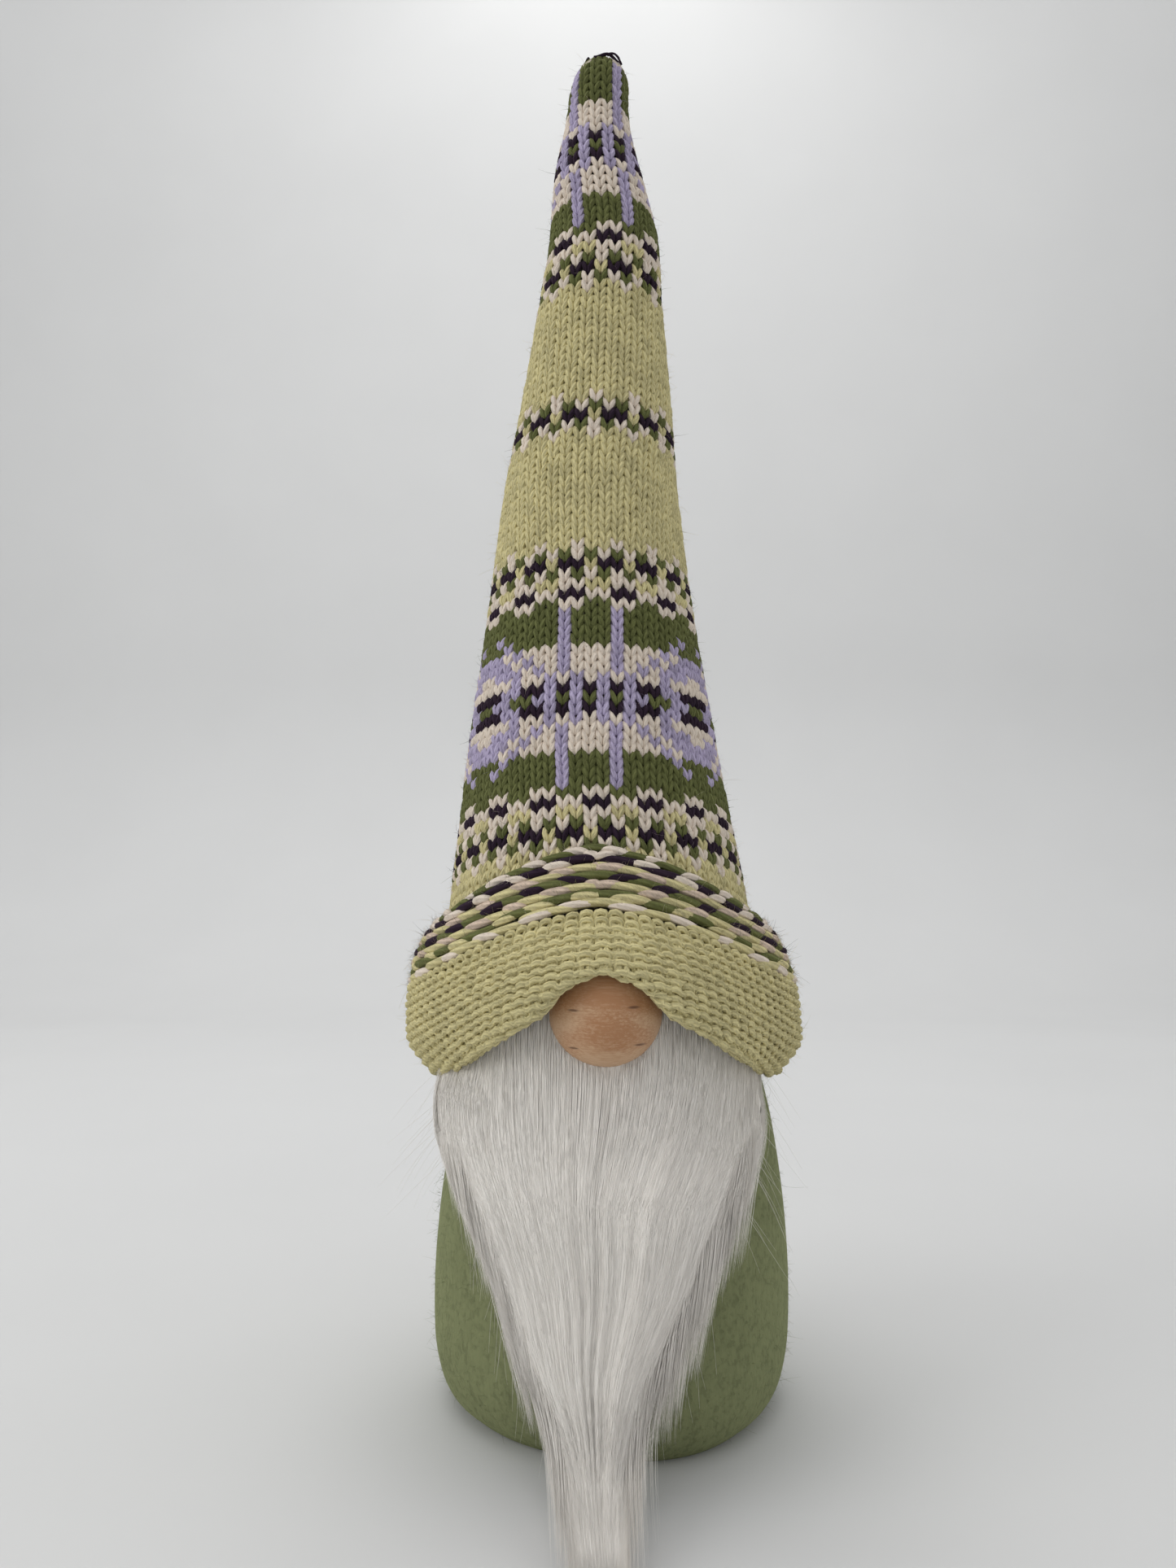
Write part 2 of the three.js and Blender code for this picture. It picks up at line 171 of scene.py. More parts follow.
class Heap:
    """Points, faces and per-point values of one mesh, gathered bit by bit."""

    def __init__(self):
        self.points, self.faces, self.yarn, self.tone = [], [], [], []
        self.count = 0
        self.triangles = 0

    def add(self, points, faces, yarn=None, tone=None):
        n = len(points)
        self.points.append(points)
        self.yarn.append(np.zeros((n, 3)) if yarn is None else yarn)
        self.tone.append(np.full(n, 0.5) if tone is None else tone)
        for face in faces:
            self.faces.append(face + self.count)
            self.triangles += len(face) * (face.shape[1] - 2)
        self.count += n

    def mesh(self, name):
        mesh = bpy.data.meshes.new(name)
        points = np.concatenate(self.points) * MM
        mesh.vertices.add(len(points))
        mesh.vertices.foreach_set("co", points.astype(np.float32).ravel())
        corners = np.concatenate([face.ravel() for face in self.faces]).astype(np.int32)
        sizes = np.concatenate([np.full(len(face), face.shape[1]) for face in self.faces])
        starts = np.concatenate([[0], np.cumsum(sizes)[:-1]]).astype(np.int32)
        mesh.loops.add(len(corners))
        mesh.loops.foreach_set("vertex_index", corners)
        mesh.polygons.add(len(sizes))
        mesh.polygons.foreach_set("loop_start", starts)
        mesh.polygons.foreach_set("use_smooth", np.ones(len(sizes), bool))
        mesh.update(calc_edges=True)
        yarn = mesh.attributes.new("yarn", "FLOAT_VECTOR", "POINT")
        yarn.data.foreach_set("vector", np.concatenate(self.yarn).astype(np.float32).ravel())
        tone = mesh.attributes.new("tone", "FLOAT", "POINT")
        tone.data.foreach_set("value", np.concatenate(self.tone).astype(np.float32))
        return mesh

    def piece(self, name, material, slot):
        mesh = self.mesh(name)
        mesh.materials.append(material)
        made = bpy.data.objects.new(name, mesh)
        bpy.context.collection.objects.link(made)
        return made


def placed(made, body, *nodes):
    """Rides on a body and stands for CAD nodes."""
    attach(made, body)
    if nodes:
        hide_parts(*nodes)
    return made


def grid_faces(rows, cols, wrap_cols=False, wrap_rows=False):
    """Quads of a grid of points; they face out when rows run down and columns run right."""
    i = np.arange(rows if wrap_rows else rows - 1)[:, None]
    j = np.arange(cols if wrap_cols else cols - 1)[None, :]
    i2, j2 = (i + 1) % rows, (j + 1) % cols
    quads = np.stack([i * cols + j, i2 * cols + j, i2 * cols + j2, i * cols + j2], -1)
    return quads.reshape(-1, 4)


def frames(paths, up):
    """Unit vectors across each path and away from the cloth."""
    tangent = unit(np.gradient(paths, axis=-2))
    side = unit(np.cross(tangent, up))
    return side, np.cross(side, tangent)


def add_tubes(heap, paths, radius, up, sides, tone=None, flat=1.0):
    """Closed tubes along paths of shape (tubes, points, 3); flat squeezes them to ribbons."""
    count, steps = paths.shape[:2]
    side, lift = frames(paths, up)
    angle = TAU * np.arange(sides) / sides + math.pi / 2
    radius = np.broadcast_to(radius, (count, steps))[..., None]
    across, away = radius * np.cos(angle), radius * np.sin(angle) * flat
    rings = paths[:, :, None] + across[..., None] * side[:, :, None]
    rings = rings + away[..., None] * lift[:, :, None]
    stretch = np.linalg.norm(np.diff(paths, axis=1), axis=-1)
    run = np.concatenate([np.zeros((count, 1)), np.cumsum(stretch, 1)], 1)
    yarn = np.stack([np.broadcast_to(run[..., None], across.shape), across, away], -1)
    quads = grid_faces(steps, sides, wrap_cols=True)
    quads = (quads[None] + np.arange(count)[:, None, None] * steps * sides).reshape(-1, 4)
    ring = np.arange(sides)
    first = ring[None] + np.arange(count)[:, None] * steps * sides
    last = first[:, ::-1] + (steps - 1) * sides
    tone = 0.5 if tone is None else tone
    tones = np.broadcast_to(np.reshape(tone, (-1, 1)), (count, steps * sides))
    heap.add(rings.reshape(-1, 3), [quads, first, last], yarn.reshape(-1, 3), tones.ravel())


def add_shell(heap, outer, inner, closed_round=True, yarn=None):
    """A closed skin between two grids of points that share their edges' order."""
    rows, cols = outer.shape[:2]
    both = np.concatenate([outer, inner[::-1]])
    faces = grid_faces(2 * rows, cols, wrap_cols=closed_round, wrap_rows=True)
    sets = [faces]
    if not closed_round:
        loop = np.arange(2 * rows) * cols
        sets += [loop[None, :], (loop[::-1] + cols - 1)[None, :]]
    heap.add(both.reshape(-1, 3), sets, yarn)


def turned_points(profile, sides, bend=None):
    """A profile of (radius, height) turned about the z axis, azimuth 0 in front."""
    azimuth = TAU * np.arange(sides)[None, :] / sides
    radius = profile[:, 0][:, None] + np.zeros_like(azimuth)
    height = profile[:, 1][:, None] + np.zeros_like(azimuth)
    if bend is not None:
        radius, height = bend(azimuth, radius, height)
    return np.stack([radius * np.sin(azimuth), -radius * np.cos(azimuth), height], -1)


# ---- materials ----------------------------------------------------------------------------


def linear(red, green, blue):
    """A colour given in the usual 0 to 255 steps, as light."""
    steps = [v / 255 for v in (red, green, blue)]
    return tuple(v / 12.92 if v < 0.04 else ((v + 0.055) / 1.055) ** 2.4 for v in steps)


def scaled(colour, share):
    """A lighter or darker colour of the same hue."""
    share = min(share, 0.97 / max(colour))
    return tuple(v * share for v in colour)


class Shader:
    """A Principled material with short calls for its nodes."""

    def __init__(self, name, roughness, **fixed):
        self.material = bpy.data.materials.new(name)
        self.material.use_nodes = True
        self.tree = self.material.node_tree
        self.surface = self.tree.nodes["Principled BSDF"]
        self.surface.inputs["Roughness"].default_value = roughness
        for socket, value in fixed.items():
            self.surface.inputs[socket.replace("_", " ")].default_value = value

    def add(self, kind, inputs, **settings):
        made = self.tree.nodes.new("ShaderNode" + kind)
        for key, value in settings.items():
            setattr(made, key, value)
        for key, value in inputs.items():
            if isinstance(value, bpy.types.NodeSocket):
                self.tree.links.new(value, made.inputs[key])
            else:
                made.inputs[key].default_value = value
        return made

    def named(self, attribute, socket="Vector"):
        return self.add("Attribute", {}, attribute_name=attribute).outputs[socket]

    def place(self):
        return self.add("TexCoord", {}).outputs["Object"]

    def stretched(self, vector, scale):
        made = self.add("Mapping", {"Vector": vector, "Scale": scale}, vector_type="POINT")
        return made.outputs[0]

    def noise(self, vector, scale, detail=3.0, roughness=0.5):
        inputs = {"Vector": vector, "Scale": scale, "Detail": detail, "Roughness": roughness}
        return self.add("TexNoise", inputs).outputs[0]

    def sum(self, *terms):
        """Adds (value, share) pairs."""
        total = None
        for value, share in terms:
            part = self.add("Math", {0: value, 1: share}, operation="MULTIPLY").outputs[0]
            if total is not None:
                part = self.add("Math", {0: total, 1: part}, operation="ADD").outputs[0]
            total = part
        return total

    def calc(self, operation, *values):
        inputs = dict(enumerate(values))
        return self.add("Math", inputs, operation=operation).outputs[0]

    def ranged(self, value, low, high, to_low=0.0, to_high=1.0):
        inputs = {0: value, 1: low, 2: high, 3: to_low, 4: to_high}
        return self.add("MapRange", inputs, interpolation_type="SMOOTHSTEP").outputs[0]

    def mixed(self, share, first, second):
        made = self.tree.nodes.new("ShaderNodeMix")
        made.data_type = "RGBA"
        for index, value in ((0, share), (6, first), (7, second)):
            if isinstance(value, bpy.types.NodeSocket):
                self.tree.links.new(value, made.inputs[index])
            elif isinstance(value, tuple):
                made.inputs[index].default_value = (*value, 1)
            else:
                made.inputs[index].default_value = value
        return made.outputs[2]

    def finish(self, colour, height=None, depth=0.0002, strength=0.6, roughness=None):
        """Links the colour, the bump and, if given, a roughness that varies."""
        self.tree.links.new(colour, self.surface.inputs["Base Color"])
        if roughness is not None:
            self.tree.links.new(roughness, self.surface.inputs["Roughness"])
        if height is not None:
            inputs = {"Strength": strength, "Distance": depth, "Height": height}
            bump = self.add("Bump", inputs).outputs[0]
            self.tree.links.new(bump, self.surface.inputs["Normal"])
        return self.material


def yarn_material(name, colour, lift=1.0):
    """Plied wool: two twisted plies, fine fibres along them and a tone that drifts; the grooves
    between plies and between fibres are painted darker as painted shade.
    """
    twist = 0.62               # radians per millimetre
    sheen = {"Sheen_Weight": 0.25, "Sheen_Roughness": 0.45, "Specular_IOR_Level": 0.15}
    shader = Shader(name, 0.9, Sheen_Tint=(*scaled(colour, 1.6), 1), **sheen)
    place = shader.named("yarn")
    parts = shader.add("SeparateXYZ", {0: place}).outputs
    turn = shader.calc("MULTIPLY", parts[0], twist)
    angle = shader.calc("ARCTAN2", parts[2], parts[1])
    wave = shader.calc("ADD", shader.calc("MULTIPLY", angle, 5.0), turn)
    plies = shader.calc("SINE", wave)
    twisted = shader.add("VectorRotate", {"Vector": place, "Angle": turn},
                         rotation_type="X_AXIS").outputs[0]
    fibres = shader.noise(shader.stretched(twisted, (0.5, 3.6, 3.6)), 1.5, 3.0, 0.6)
    drift = shader.noise(shader.place(), 160, 2.0)
    tone = shader.named("tone", "Fac")
    # plies and fibres also set the bump, so their low grooves get the darker colour: painted shade in
    # the crevices, on top of the fibres' own tone
    share = shader.sum((fibres, 0.9), (plies, 0.1), (drift, 0.14), (tone, 0.18))
    share = shader.ranged(share, 0.21, 1.01)
    body = shader.mixed(share, scaled(colour, 0.55 * lift), scaled(colour, 1.25 * lift))
    height = shader.sum((fibres, 0.7), (plies, 0.35))
    return shader.finish(body, height, 0.0004, 0.8)


def felt_material():
    """Pressed wool: short matted fibres, pits painted darker as painted shade, and a soft bloom."""
    green = linear(122, 127, 92)
    fixed = {"Sheen_Weight": 0.45, "Sheen_Roughness": 0.4, "Specular_IOR_Level": 0.1}
    shader = Shader("felt", 0.95, Sheen_Tint=(*scaled(green, 1.7), 1), **fixed)
    place = shader.place()
    warp = shader.noise(place, 260, 4.0, 0.65)
    streaks = shader.noise(shader.stretched(place, (1, 1, 0.35)), 900, 3.0, 0.6)
    pits = shader.ranged(shader.noise(place, 520, 2.0), 0.36, 0.5)
    cloud = shader.noise(place, 38, 2.0)
    # painted shade: the pits are the low spots of the bump and are coloured darker there
    share = shader.sum((warp, 0.6), (streaks, 0.6), (cloud, 0.5), (pits, 0.14))
    colour = shader.mixed(shader.ranged(share, 0.5, 1.25), scaled(green, 0.74), scaled(green, 1.16))
    height = shader.sum((warp, 0.8), (streaks, 0.5), (pits, 0.25))
    return shader.finish(colour, height, 0.0007, 0.55)


def fur_material(name, light, dark):
    """Long soft pile; the strands' own coordinate runs along them."""
    shader = Shader(name, 0.6, Specular_IOR_Level=0.2, Sheen_Weight=0.3, Sheen_Roughness=0.5)
    tone = shader.named("tone", "Fac")
    place = shader.named("yarn")
    streak = shader.noise(shader.stretched(place, (0.012, 1.4, 1.4)), 2.2, 3.0, 0.6)
    cloud = shader.noise(shader.place(), 55, 2.0)
    share = shader.sum((tone, 0.5), (streak, 0.55), (cloud, 0.35))
    colour = shader.mixed(shader.ranged(share, 0.3, 1.05), dark, light)
    return shader.finish(colour, streak, 0.0002, 0.12)


def wood_material():
    """Sanded maple: fine lines across the face, an end-grain bloom and small flecks, with a top
    painted darker as painted shadow from the cuff.
    """
    pale, warm = linear(205, 170, 136), linear(176, 128, 90)
    shader = Shader("maple", 0.5, Specular_IOR_Level=0.35)
    local = shader.add("VectorMath", {0: shader.place(), 1: tuple(-NOSE * MM)},
                       operation="ADD").outputs[0]
    parts = shader.add("SeparateXYZ", {0: local}).outputs
    wobble = shader.noise(shader.stretched(local, (0.5, 1, 1)), 90, 2.0)
    depth = shader.sum((parts[2], 620.0), (parts[1], 260.0), (wobble, 5.5))
    rings = shader.calc("SINE", depth)
    lines = shader.noise(shader.stretched(local, (0.10, 1, 1.6)), 1500, 4.0, 0.65)
    bloom_at = shader.add("VectorMath", {0: local, 1: (0.002, -0.014, -0.003)},
                          operation="DISTANCE").outputs["Value"]
    bloom = shader.ranged(bloom_at, 0.0125, 0.001)
    # painted shadow: the bead darkens towards its top as if shaded by the cuff above it
    painted_cuff_shadow = shader.ranged(parts[2], -0.004, 0.011)
    mottle = shader.noise(shader.stretched(local, (0.55, 1, 1)), 1350, 3.0, 0.7)
    freckle = shader.calc("MULTIPLY", bloom, shader.ranged(mottle, 0.4, 0.62))
    share = shader.sum((lines, 1.1), (rings, 0.12), (freckle, 0.42), (bloom, 0.12), (painted_cuff_shadow, 0.35))
    colour = shader.mixed(shader.ranged(share, 0.25, 1.0), pale, warm)
    for x, z, size in ((-8.9, 1.1, 1.0), (7.4, 2.0, 1.15), (-8.8, -9.4, 0.9), (9.2, -8.4, 1.1)):
        spot = shader.add("CombineXYZ", {0: x * MM, 1: 0.0, 2: z * MM}).outputs[0]
        flat = shader.stretched(shader.add("VectorMath", {0: local, 1: spot},
                                           operation="SUBTRACT").outputs[0], (1, 0, 4.2))
        away = shader.add("VectorMath", {0: flat}, operation="LENGTH").outputs["Value"]
        mark = shader.ranged(away, 0.0021 * size, 0.0006)
        colour = shader.mixed(shader.calc("MULTIPLY", mark, 0.75), colour, linear(88, 52, 38))
    roughness = shader.ranged(lines, 0.2, 0.8, 0.42, 0.62)
    return shader.finish(colour, shader.sum((lines, 1.0), (rings, 0.1)), 0.00012, 0.5, roughness)


def grainy_material(name, light, dark, size, roughness=0.85, depth=0.0004):
    """Two tones of one stuff mottled at the given size in millimetres, with matching relief."""
    shader = Shader(name, roughness)
    place = shader.place()
    fine = shader.noise(place, 1000 / size, 4.0, 0.6)
    broad = shader.noise(place, 160 / size, 2.0)
    share = shader.ranged(shader.sum((fine, 0.7), (broad, 0.5)), 0.35, 0.85)
    return shader.finish(shader.mixed(share, dark, light), fine, depth, 0.6)


def woven_material(name, light, dark, pitch):
    """A plain weave: threads over and under, pitch millimetres apart."""
    shader = Shader(name, 0.85)
    parts = shader.add("SeparateXYZ", {0: shader.place()}).outputs
    waves = [shader.calc("SINE", shader.calc("MULTIPLY", part, TAU * 1000 / pitch))
             for part in parts]
    cross = shader.calc("MULTIPLY", shader.calc("ADD", waves[0], waves[1]), waves[2])
    fibre = shader.noise(shader.place(), 1800, 3.0)
    share = shader.ranged(shader.sum((cross, 0.3), (fibre, 0.7)), -0.1, 0.8)
    return shader.finish(shader.mixed(share, dark, light), cross, 0.0002, 0.6)


def ballast_material(name, light, dark, size):
    """Loose round pellets seen as packed cells, painted lighter in their middles and darker towards
    their edges as painted shading of the round pellets.
    """
    shader = Shader(name, 0.55)
    cells = shader.add("TexVoronoi", {"Vector": shader.place(), "Scale": 1000 / size})
    away, tint = cells.outputs["Distance"], cells.outputs["Color"]
    tone = shader.add("SeparateColor", {0: tint}).outputs[0]
    # painted shade: each cell is lighter at its middle and darker at its edge, where the pellets meet
    share = shader.sum((shader.ranged(away, 0.75, 0.2), 0.8), (tone, 0.25))
    return shader.finish(shader.mixed(share, dark, light), shader.calc("MULTIPLY", away, -1.0),
                         0.0012, 0.9)


LIME = linear(222, 211, 159)
GREEN = linear(108, 112, 68)
CREAM = linear(252, 237, 220)
MAUVE = linear(226, 204, 184)
LILAC = linear(192, 181, 210)
PLUM = linear(50, 36, 50)

YARNS = {
    "L": ("lime", yarn_material("lime_yarn", LIME)),
    "G": ("green", yarn_material("green_yarn", GREEN)),
    "W": ("cream", yarn_material("cream_yarn", CREAM, 1.3)),
    "V": ("lilac", yarn_material("lilac_yarn", LILAC)),
    "P": ("plum", yarn_material("plum_yarn", PLUM)),
    "M": ("mauve", yarn_material("mauve_yarn", MAUVE)),
}
FELT = felt_material()
FUR = fur_material("beard_pile", (0.98, 0.94, 0.88), (0.95, 0.905, 0.845))
WOOD = wood_material()

# ---- studio -------------------------------------------------------------------------------


def add_stage():
    """A floor that sweeps up into a wall far behind the gnome."""
    floor_half, wall_y, bend, wall_top = 5000, 1500, 500, 3200
    turn = np.linspace(0, math.pi / 2, 16)
    y = [-6000, -600, 0, 600, *(wall_y - bend + bend * np.sin(turn)), wall_y]
    z = [0, 0, 0, 0, *(bend - bend * np.cos(turn)), wall_top]
    x = np.linspace(-floor_half, floor_half, 9)
    sheet = np.stack(np.broadcast_arrays(
        x[None, :], np.array(y)[:, None], np.array(z)[:, None]), -1)
    heap = Heap()
    heap.add(sheet.reshape(-1, 3), [grid_faces(*sheet.shape[:2])[:, ::-1]])
    shader = Shader("paper_backdrop", 0.75, Specular_IOR_Level=0.2)
    place = shader.place()
    fibre = shader.noise(place, 700, 4.0, 0.6)
    cloud = shader.noise(place, 6, 2.0)
    share = shader.sum((fibre, 0.15), (cloud, 0.85))
    colour = shader.mixed(share, (0.655, 0.655, 0.65), (0.695, 0.695, 0.69))
    floor = heap.piece("studio_floor", shader.finish(colour, fibre, 0.00003, 0.3), "card")


def add_light(name, place, aim, size, power):
    data = bpy.data.lights.new(name, "AREA")
    data.shape = "DISK"
    data.size = size
    data.energy = power
    light = bpy.data.objects.new(name, data)
    light.location = place
    toward = Vector(aim) - Vector(place)
    light.rotation_euler = toward.to_track_quat("-Z", "Y").to_euler()
    bpy.context.collection.objects.link(light)


def add_lights():
    add_light("overhead", (-0.25, 0.15, 1.5), (0, 0, 0.1), 1.3, 4)
    add_light("overhead_back", (0, 0.9, 1.9), (0, 0.6, 0), 1.2, 4.5)
    add_light("overhead_front", (0, -0.9, 1.6), (0, 0, 0.1), 1.2, 1.3)
    add_light("left_window", (-1.5, -0.7, 0.9), (0, 0, 0.2), 1.2, 8.5)
    add_light("right_fill", (1.4, -0.6, 0.9), (0, 0, 0.2), 1.4, 2.2)
    for x in (-0.7, 0.7):
        add_light("wall_wash", (x, 0.6, 2.3), (x, 1.5, 1.5), 1.6, 6)
    world = bpy.data.worlds.new("studio")
    world.use_nodes = True
    back = world.node_tree.nodes["Background"]
    back.inputs["Color"].default_value = (0.97, 0.985, 1.0, 1)
    back.inputs["Strength"].default_value = 0.5
    bpy.context.scene.world = world
    bpy.context.scene.view_settings.view_transform = "Standard"


add_stage()
add_lights()

# ---- body ---------------------------------------------------------------------------------

FELT_THICK = 1.8
SEAM_TURN = math.pi            # the back seam's azimuth
lumps = Ripple(12, 7, 2, 9, 0.06)


def body_radius(z):
    return along(BODY, z)


def foot_bulge(azimuth, height):
    """The foot spreads a little more to the right of the front."""
    turn = (azimuth + math.pi) % TAU - math.pi
    return 3.2 * np.exp(-((turn - 0.45) / 0.5) ** 2) * smooth(34, 4, height)


def body_bend(azimuth, radius, height):
    """Gathers towards the tied neck, faint lumps of the filling and the back seam's groove."""
    gathered = smooth(146, 168, height)
    pleat = 1.25 * np.cos(16 * azimuth + 0.6 * np.sin(3 * azimuth)) * gathered
    lump = 0.55 * lumps(azimuth, height) * smooth(4, 24, height) * (1 - gathered)
    apart = np.abs((azimuth - SEAM_TURN + math.pi) % TAU - math.pi) * radius
    seam = -1.1 * np.exp(-(apart / 1.3) ** 2) * smooth(166, 150, height)
    rim = -0.7 * np.exp(-((height - 2.6) / 0.9) ** 2)
    return radius + pleat + lump + seam + rim + foot_bulge(azimuth, height), height


def add_body():
    heights = np.concatenate([
        np.linspace(0, 12, 14), np.linspace(13.5, 140, 70), np.linspace(141.5, 180, 36)])
    outside = np.stack([body_radius(heights), heights], 1)
    inside = outside - [FELT_THICK, 0]
    heap = Heap()
    outer = turned_points(outside[::-1], 256, body_bend)
    inner = turned_points(inside[::-1], 256, body_bend)
    add_shell(heap, outer, inner)
    sack = heap.piece("felt_body", FELT, "felt")
    placed(sack, "body", "body_sack")


def felt_fuzz():
    """Short fibres that stand off the felt."""
    count = 7000
    turn = rng.uniform(-math.pi, math.pi, count)
    z = rng.uniform(1.5, 150, count)
    radius, z = body_bend(turn, body_radius(z), z)
    out = np.stack([np.sin(turn), -np.cos(turn), np.zeros(count)], 1)
    base = out * (radius[:, None] - 0.1) + np.stack([0 * z, 0 * z, z], 1)
    way = unit(0.5 * out + rng.normal(0, 0.7, (count, 3)))
    bend = rng.normal(0, 0.5, (count, 3))
    s = np.linspace(0, 1, 4)[None, :, None]
    length = rng.gamma(3.0, 0.4, count)[:, None, None] + 0.3
    path = base[:, None] + length * (way[:, None] * s + bend[:, None] * s * s)
    path[..., 2] = np.maximum(path[..., 2], 0.2)
    thick = 0.045 * (1 - 0.75 * s[..., 0]) + np.zeros((count, 1))
    heap = Heap()
    add_tubes(heap, path, thick, np.array([0.3, 0.2, 0.93]), 3)
    placed(heap.piece("felt_fibres", FELT, "felt"), "body", "body_sack")


add_body()
felt_fuzz()

# ---- knitting -----------------------------------------------------------------------------

STITCH = 4.25                  # width of a stitch low on the hat
STITCH_TOP = 4.55              # and towards its tip
LOOP_HALF = 2.7                # half the height of a loop
LEG_SWING = 1.0                # how far a loop's legs lean out and in
YARN_DEPTH = 0.95              # how far the yarn weaves to front and back
YARN_RADIUS = 0.96
LOOP_STEPS = 14
LOOP_SIDES = 6
KNIT_MIDDLE = 1.75             # depth of the yarn's middle under the hat's outline
TIP_RISE = 2.6                 # from the lowest point of a stitch to its middle
FUZZ = 2.8                     # fibres on each stitch
# front height of the low tips of the stitches: [row, height]
KNIT_ROWS = [
    [-3, 450.2], [-2, 447.5], [3, 431], [7, 418], [11, 403.8], [14, 392.5], [19, 378.7], [25, 357],
    [39, 317], [43, 304], [57, 265.8], [63, 246.3], [71, 222.5], [75, 209.5], [78, 200.5],
    [83, 186.8], [89, 168], [100, 135],
]
FIRST_ROW = -3
# sideways place of the chart's middle stitch: [height, arc from the hat's front]
CHART_MIDDLE = [
    [160, -2.3], [200, -1.5], [240, -0.1], [320, 0.1], [385, -0.5], [425, -1.0], [445, -2.2],
]

# The snowflake band by distance from the chart's middle stitch: the eleven rows between the
# green ones. L lime, G green, W cream, V lilac, P plum.
SNOW = [
    "WWWWPGPWWWW", "WWWVVVVVWWW", "VVVWPGPWVVV", "WWWVVVVVWWW", "WWVWPVPWVWW",
    "WVWWPGPWWVW", "VWVVVGVVVWV", "WVVWVVVWVVW", "VVVWPVPWVVV", "VVWWPGPWWVV",
]
SNOW_REPEAT = 19
GREEN_MARKS = {2: (1, 2, 3, 4, 5, 6), 7: (1,), 8: (2,)}
# repeating rows, read from the chart's middle stitch
ABOVE = ["WWGG", "PPWW", "WWLL", "WG", "LPP", "GW", "LLW"]
BELOW = ["LLW", "GW", "LPP", "WG", "LLWW", "WWPP", "GGWW"]
NARROW = ["WLL", "GW", "LPP", "WG", "WLL"]


def snow_rows(above, below):
    return [("snow", at) for at in range(-above, 11 + below)]


CHART = [
    "W", *snow_rows(6, 4), *ABOVE, *["L"] * 13, *NARROW, *["L"] * 13,
    *BELOW, *snow_rows(4, 4), *ABOVE, *["L"] * 12,
]


def row_colours(row, columns):
    """The yarn letters of one row at whole stitches from the middle."""
    kind = CHART[row - FIRST_ROW]
    if isinstance(kind, str):
        return [kind[c % len(kind)] for c in columns]
    at = kind[1]
    letters = []
    for c in columns:
        apart = abs(c) % SNOW_REPEAT
        apart = min(apart, SNOW_REPEAT - apart)
        if 0 <= at < 11:
            letters.append(SNOW[apart][at])
        else:
            beyond = -at if at < 0 else at - 10
            letters.append("V" if beyond in GREEN_MARKS.get(apart, ()) else "G")
    return letters


def hat_reach(z):
    """Outline radius beside the gnome, with the rounded crown."""
    rise = np.clip((z - CROWN_START) / (HAT_TOP - CROWN_START), 0, 0.999)
    return along(HAT, z) * np.sqrt(1 - rise ** 2)


def hat_radius(azimuth, z):
    push = BULGE * np.exp(-(np.degrees(azimuth) / 30) ** 2) * smooth(178, 132, z)
    return hat_reach(z) + push


def hat_middle(z):
    return along(LEAN, z)


def cuff_high(azimuth):
    return 141 + 31 * np.exp(-(np.abs(np.degrees(azimuth)) / 64) ** 1.6)


def around(azimuth, radius, z):
    """Points about the leaning middle of the hat."""
    x = hat_middle(z) + radius * np.sin(azimuth)
    return np.stack([x, -radius * np.cos(azimuth), z + np.zeros_like(x)], -1)


def row_droop(front):
    """How far a row falls from the front to the sides."""
    return 2 + 7 * np.exp(-(front - 186) / 45)


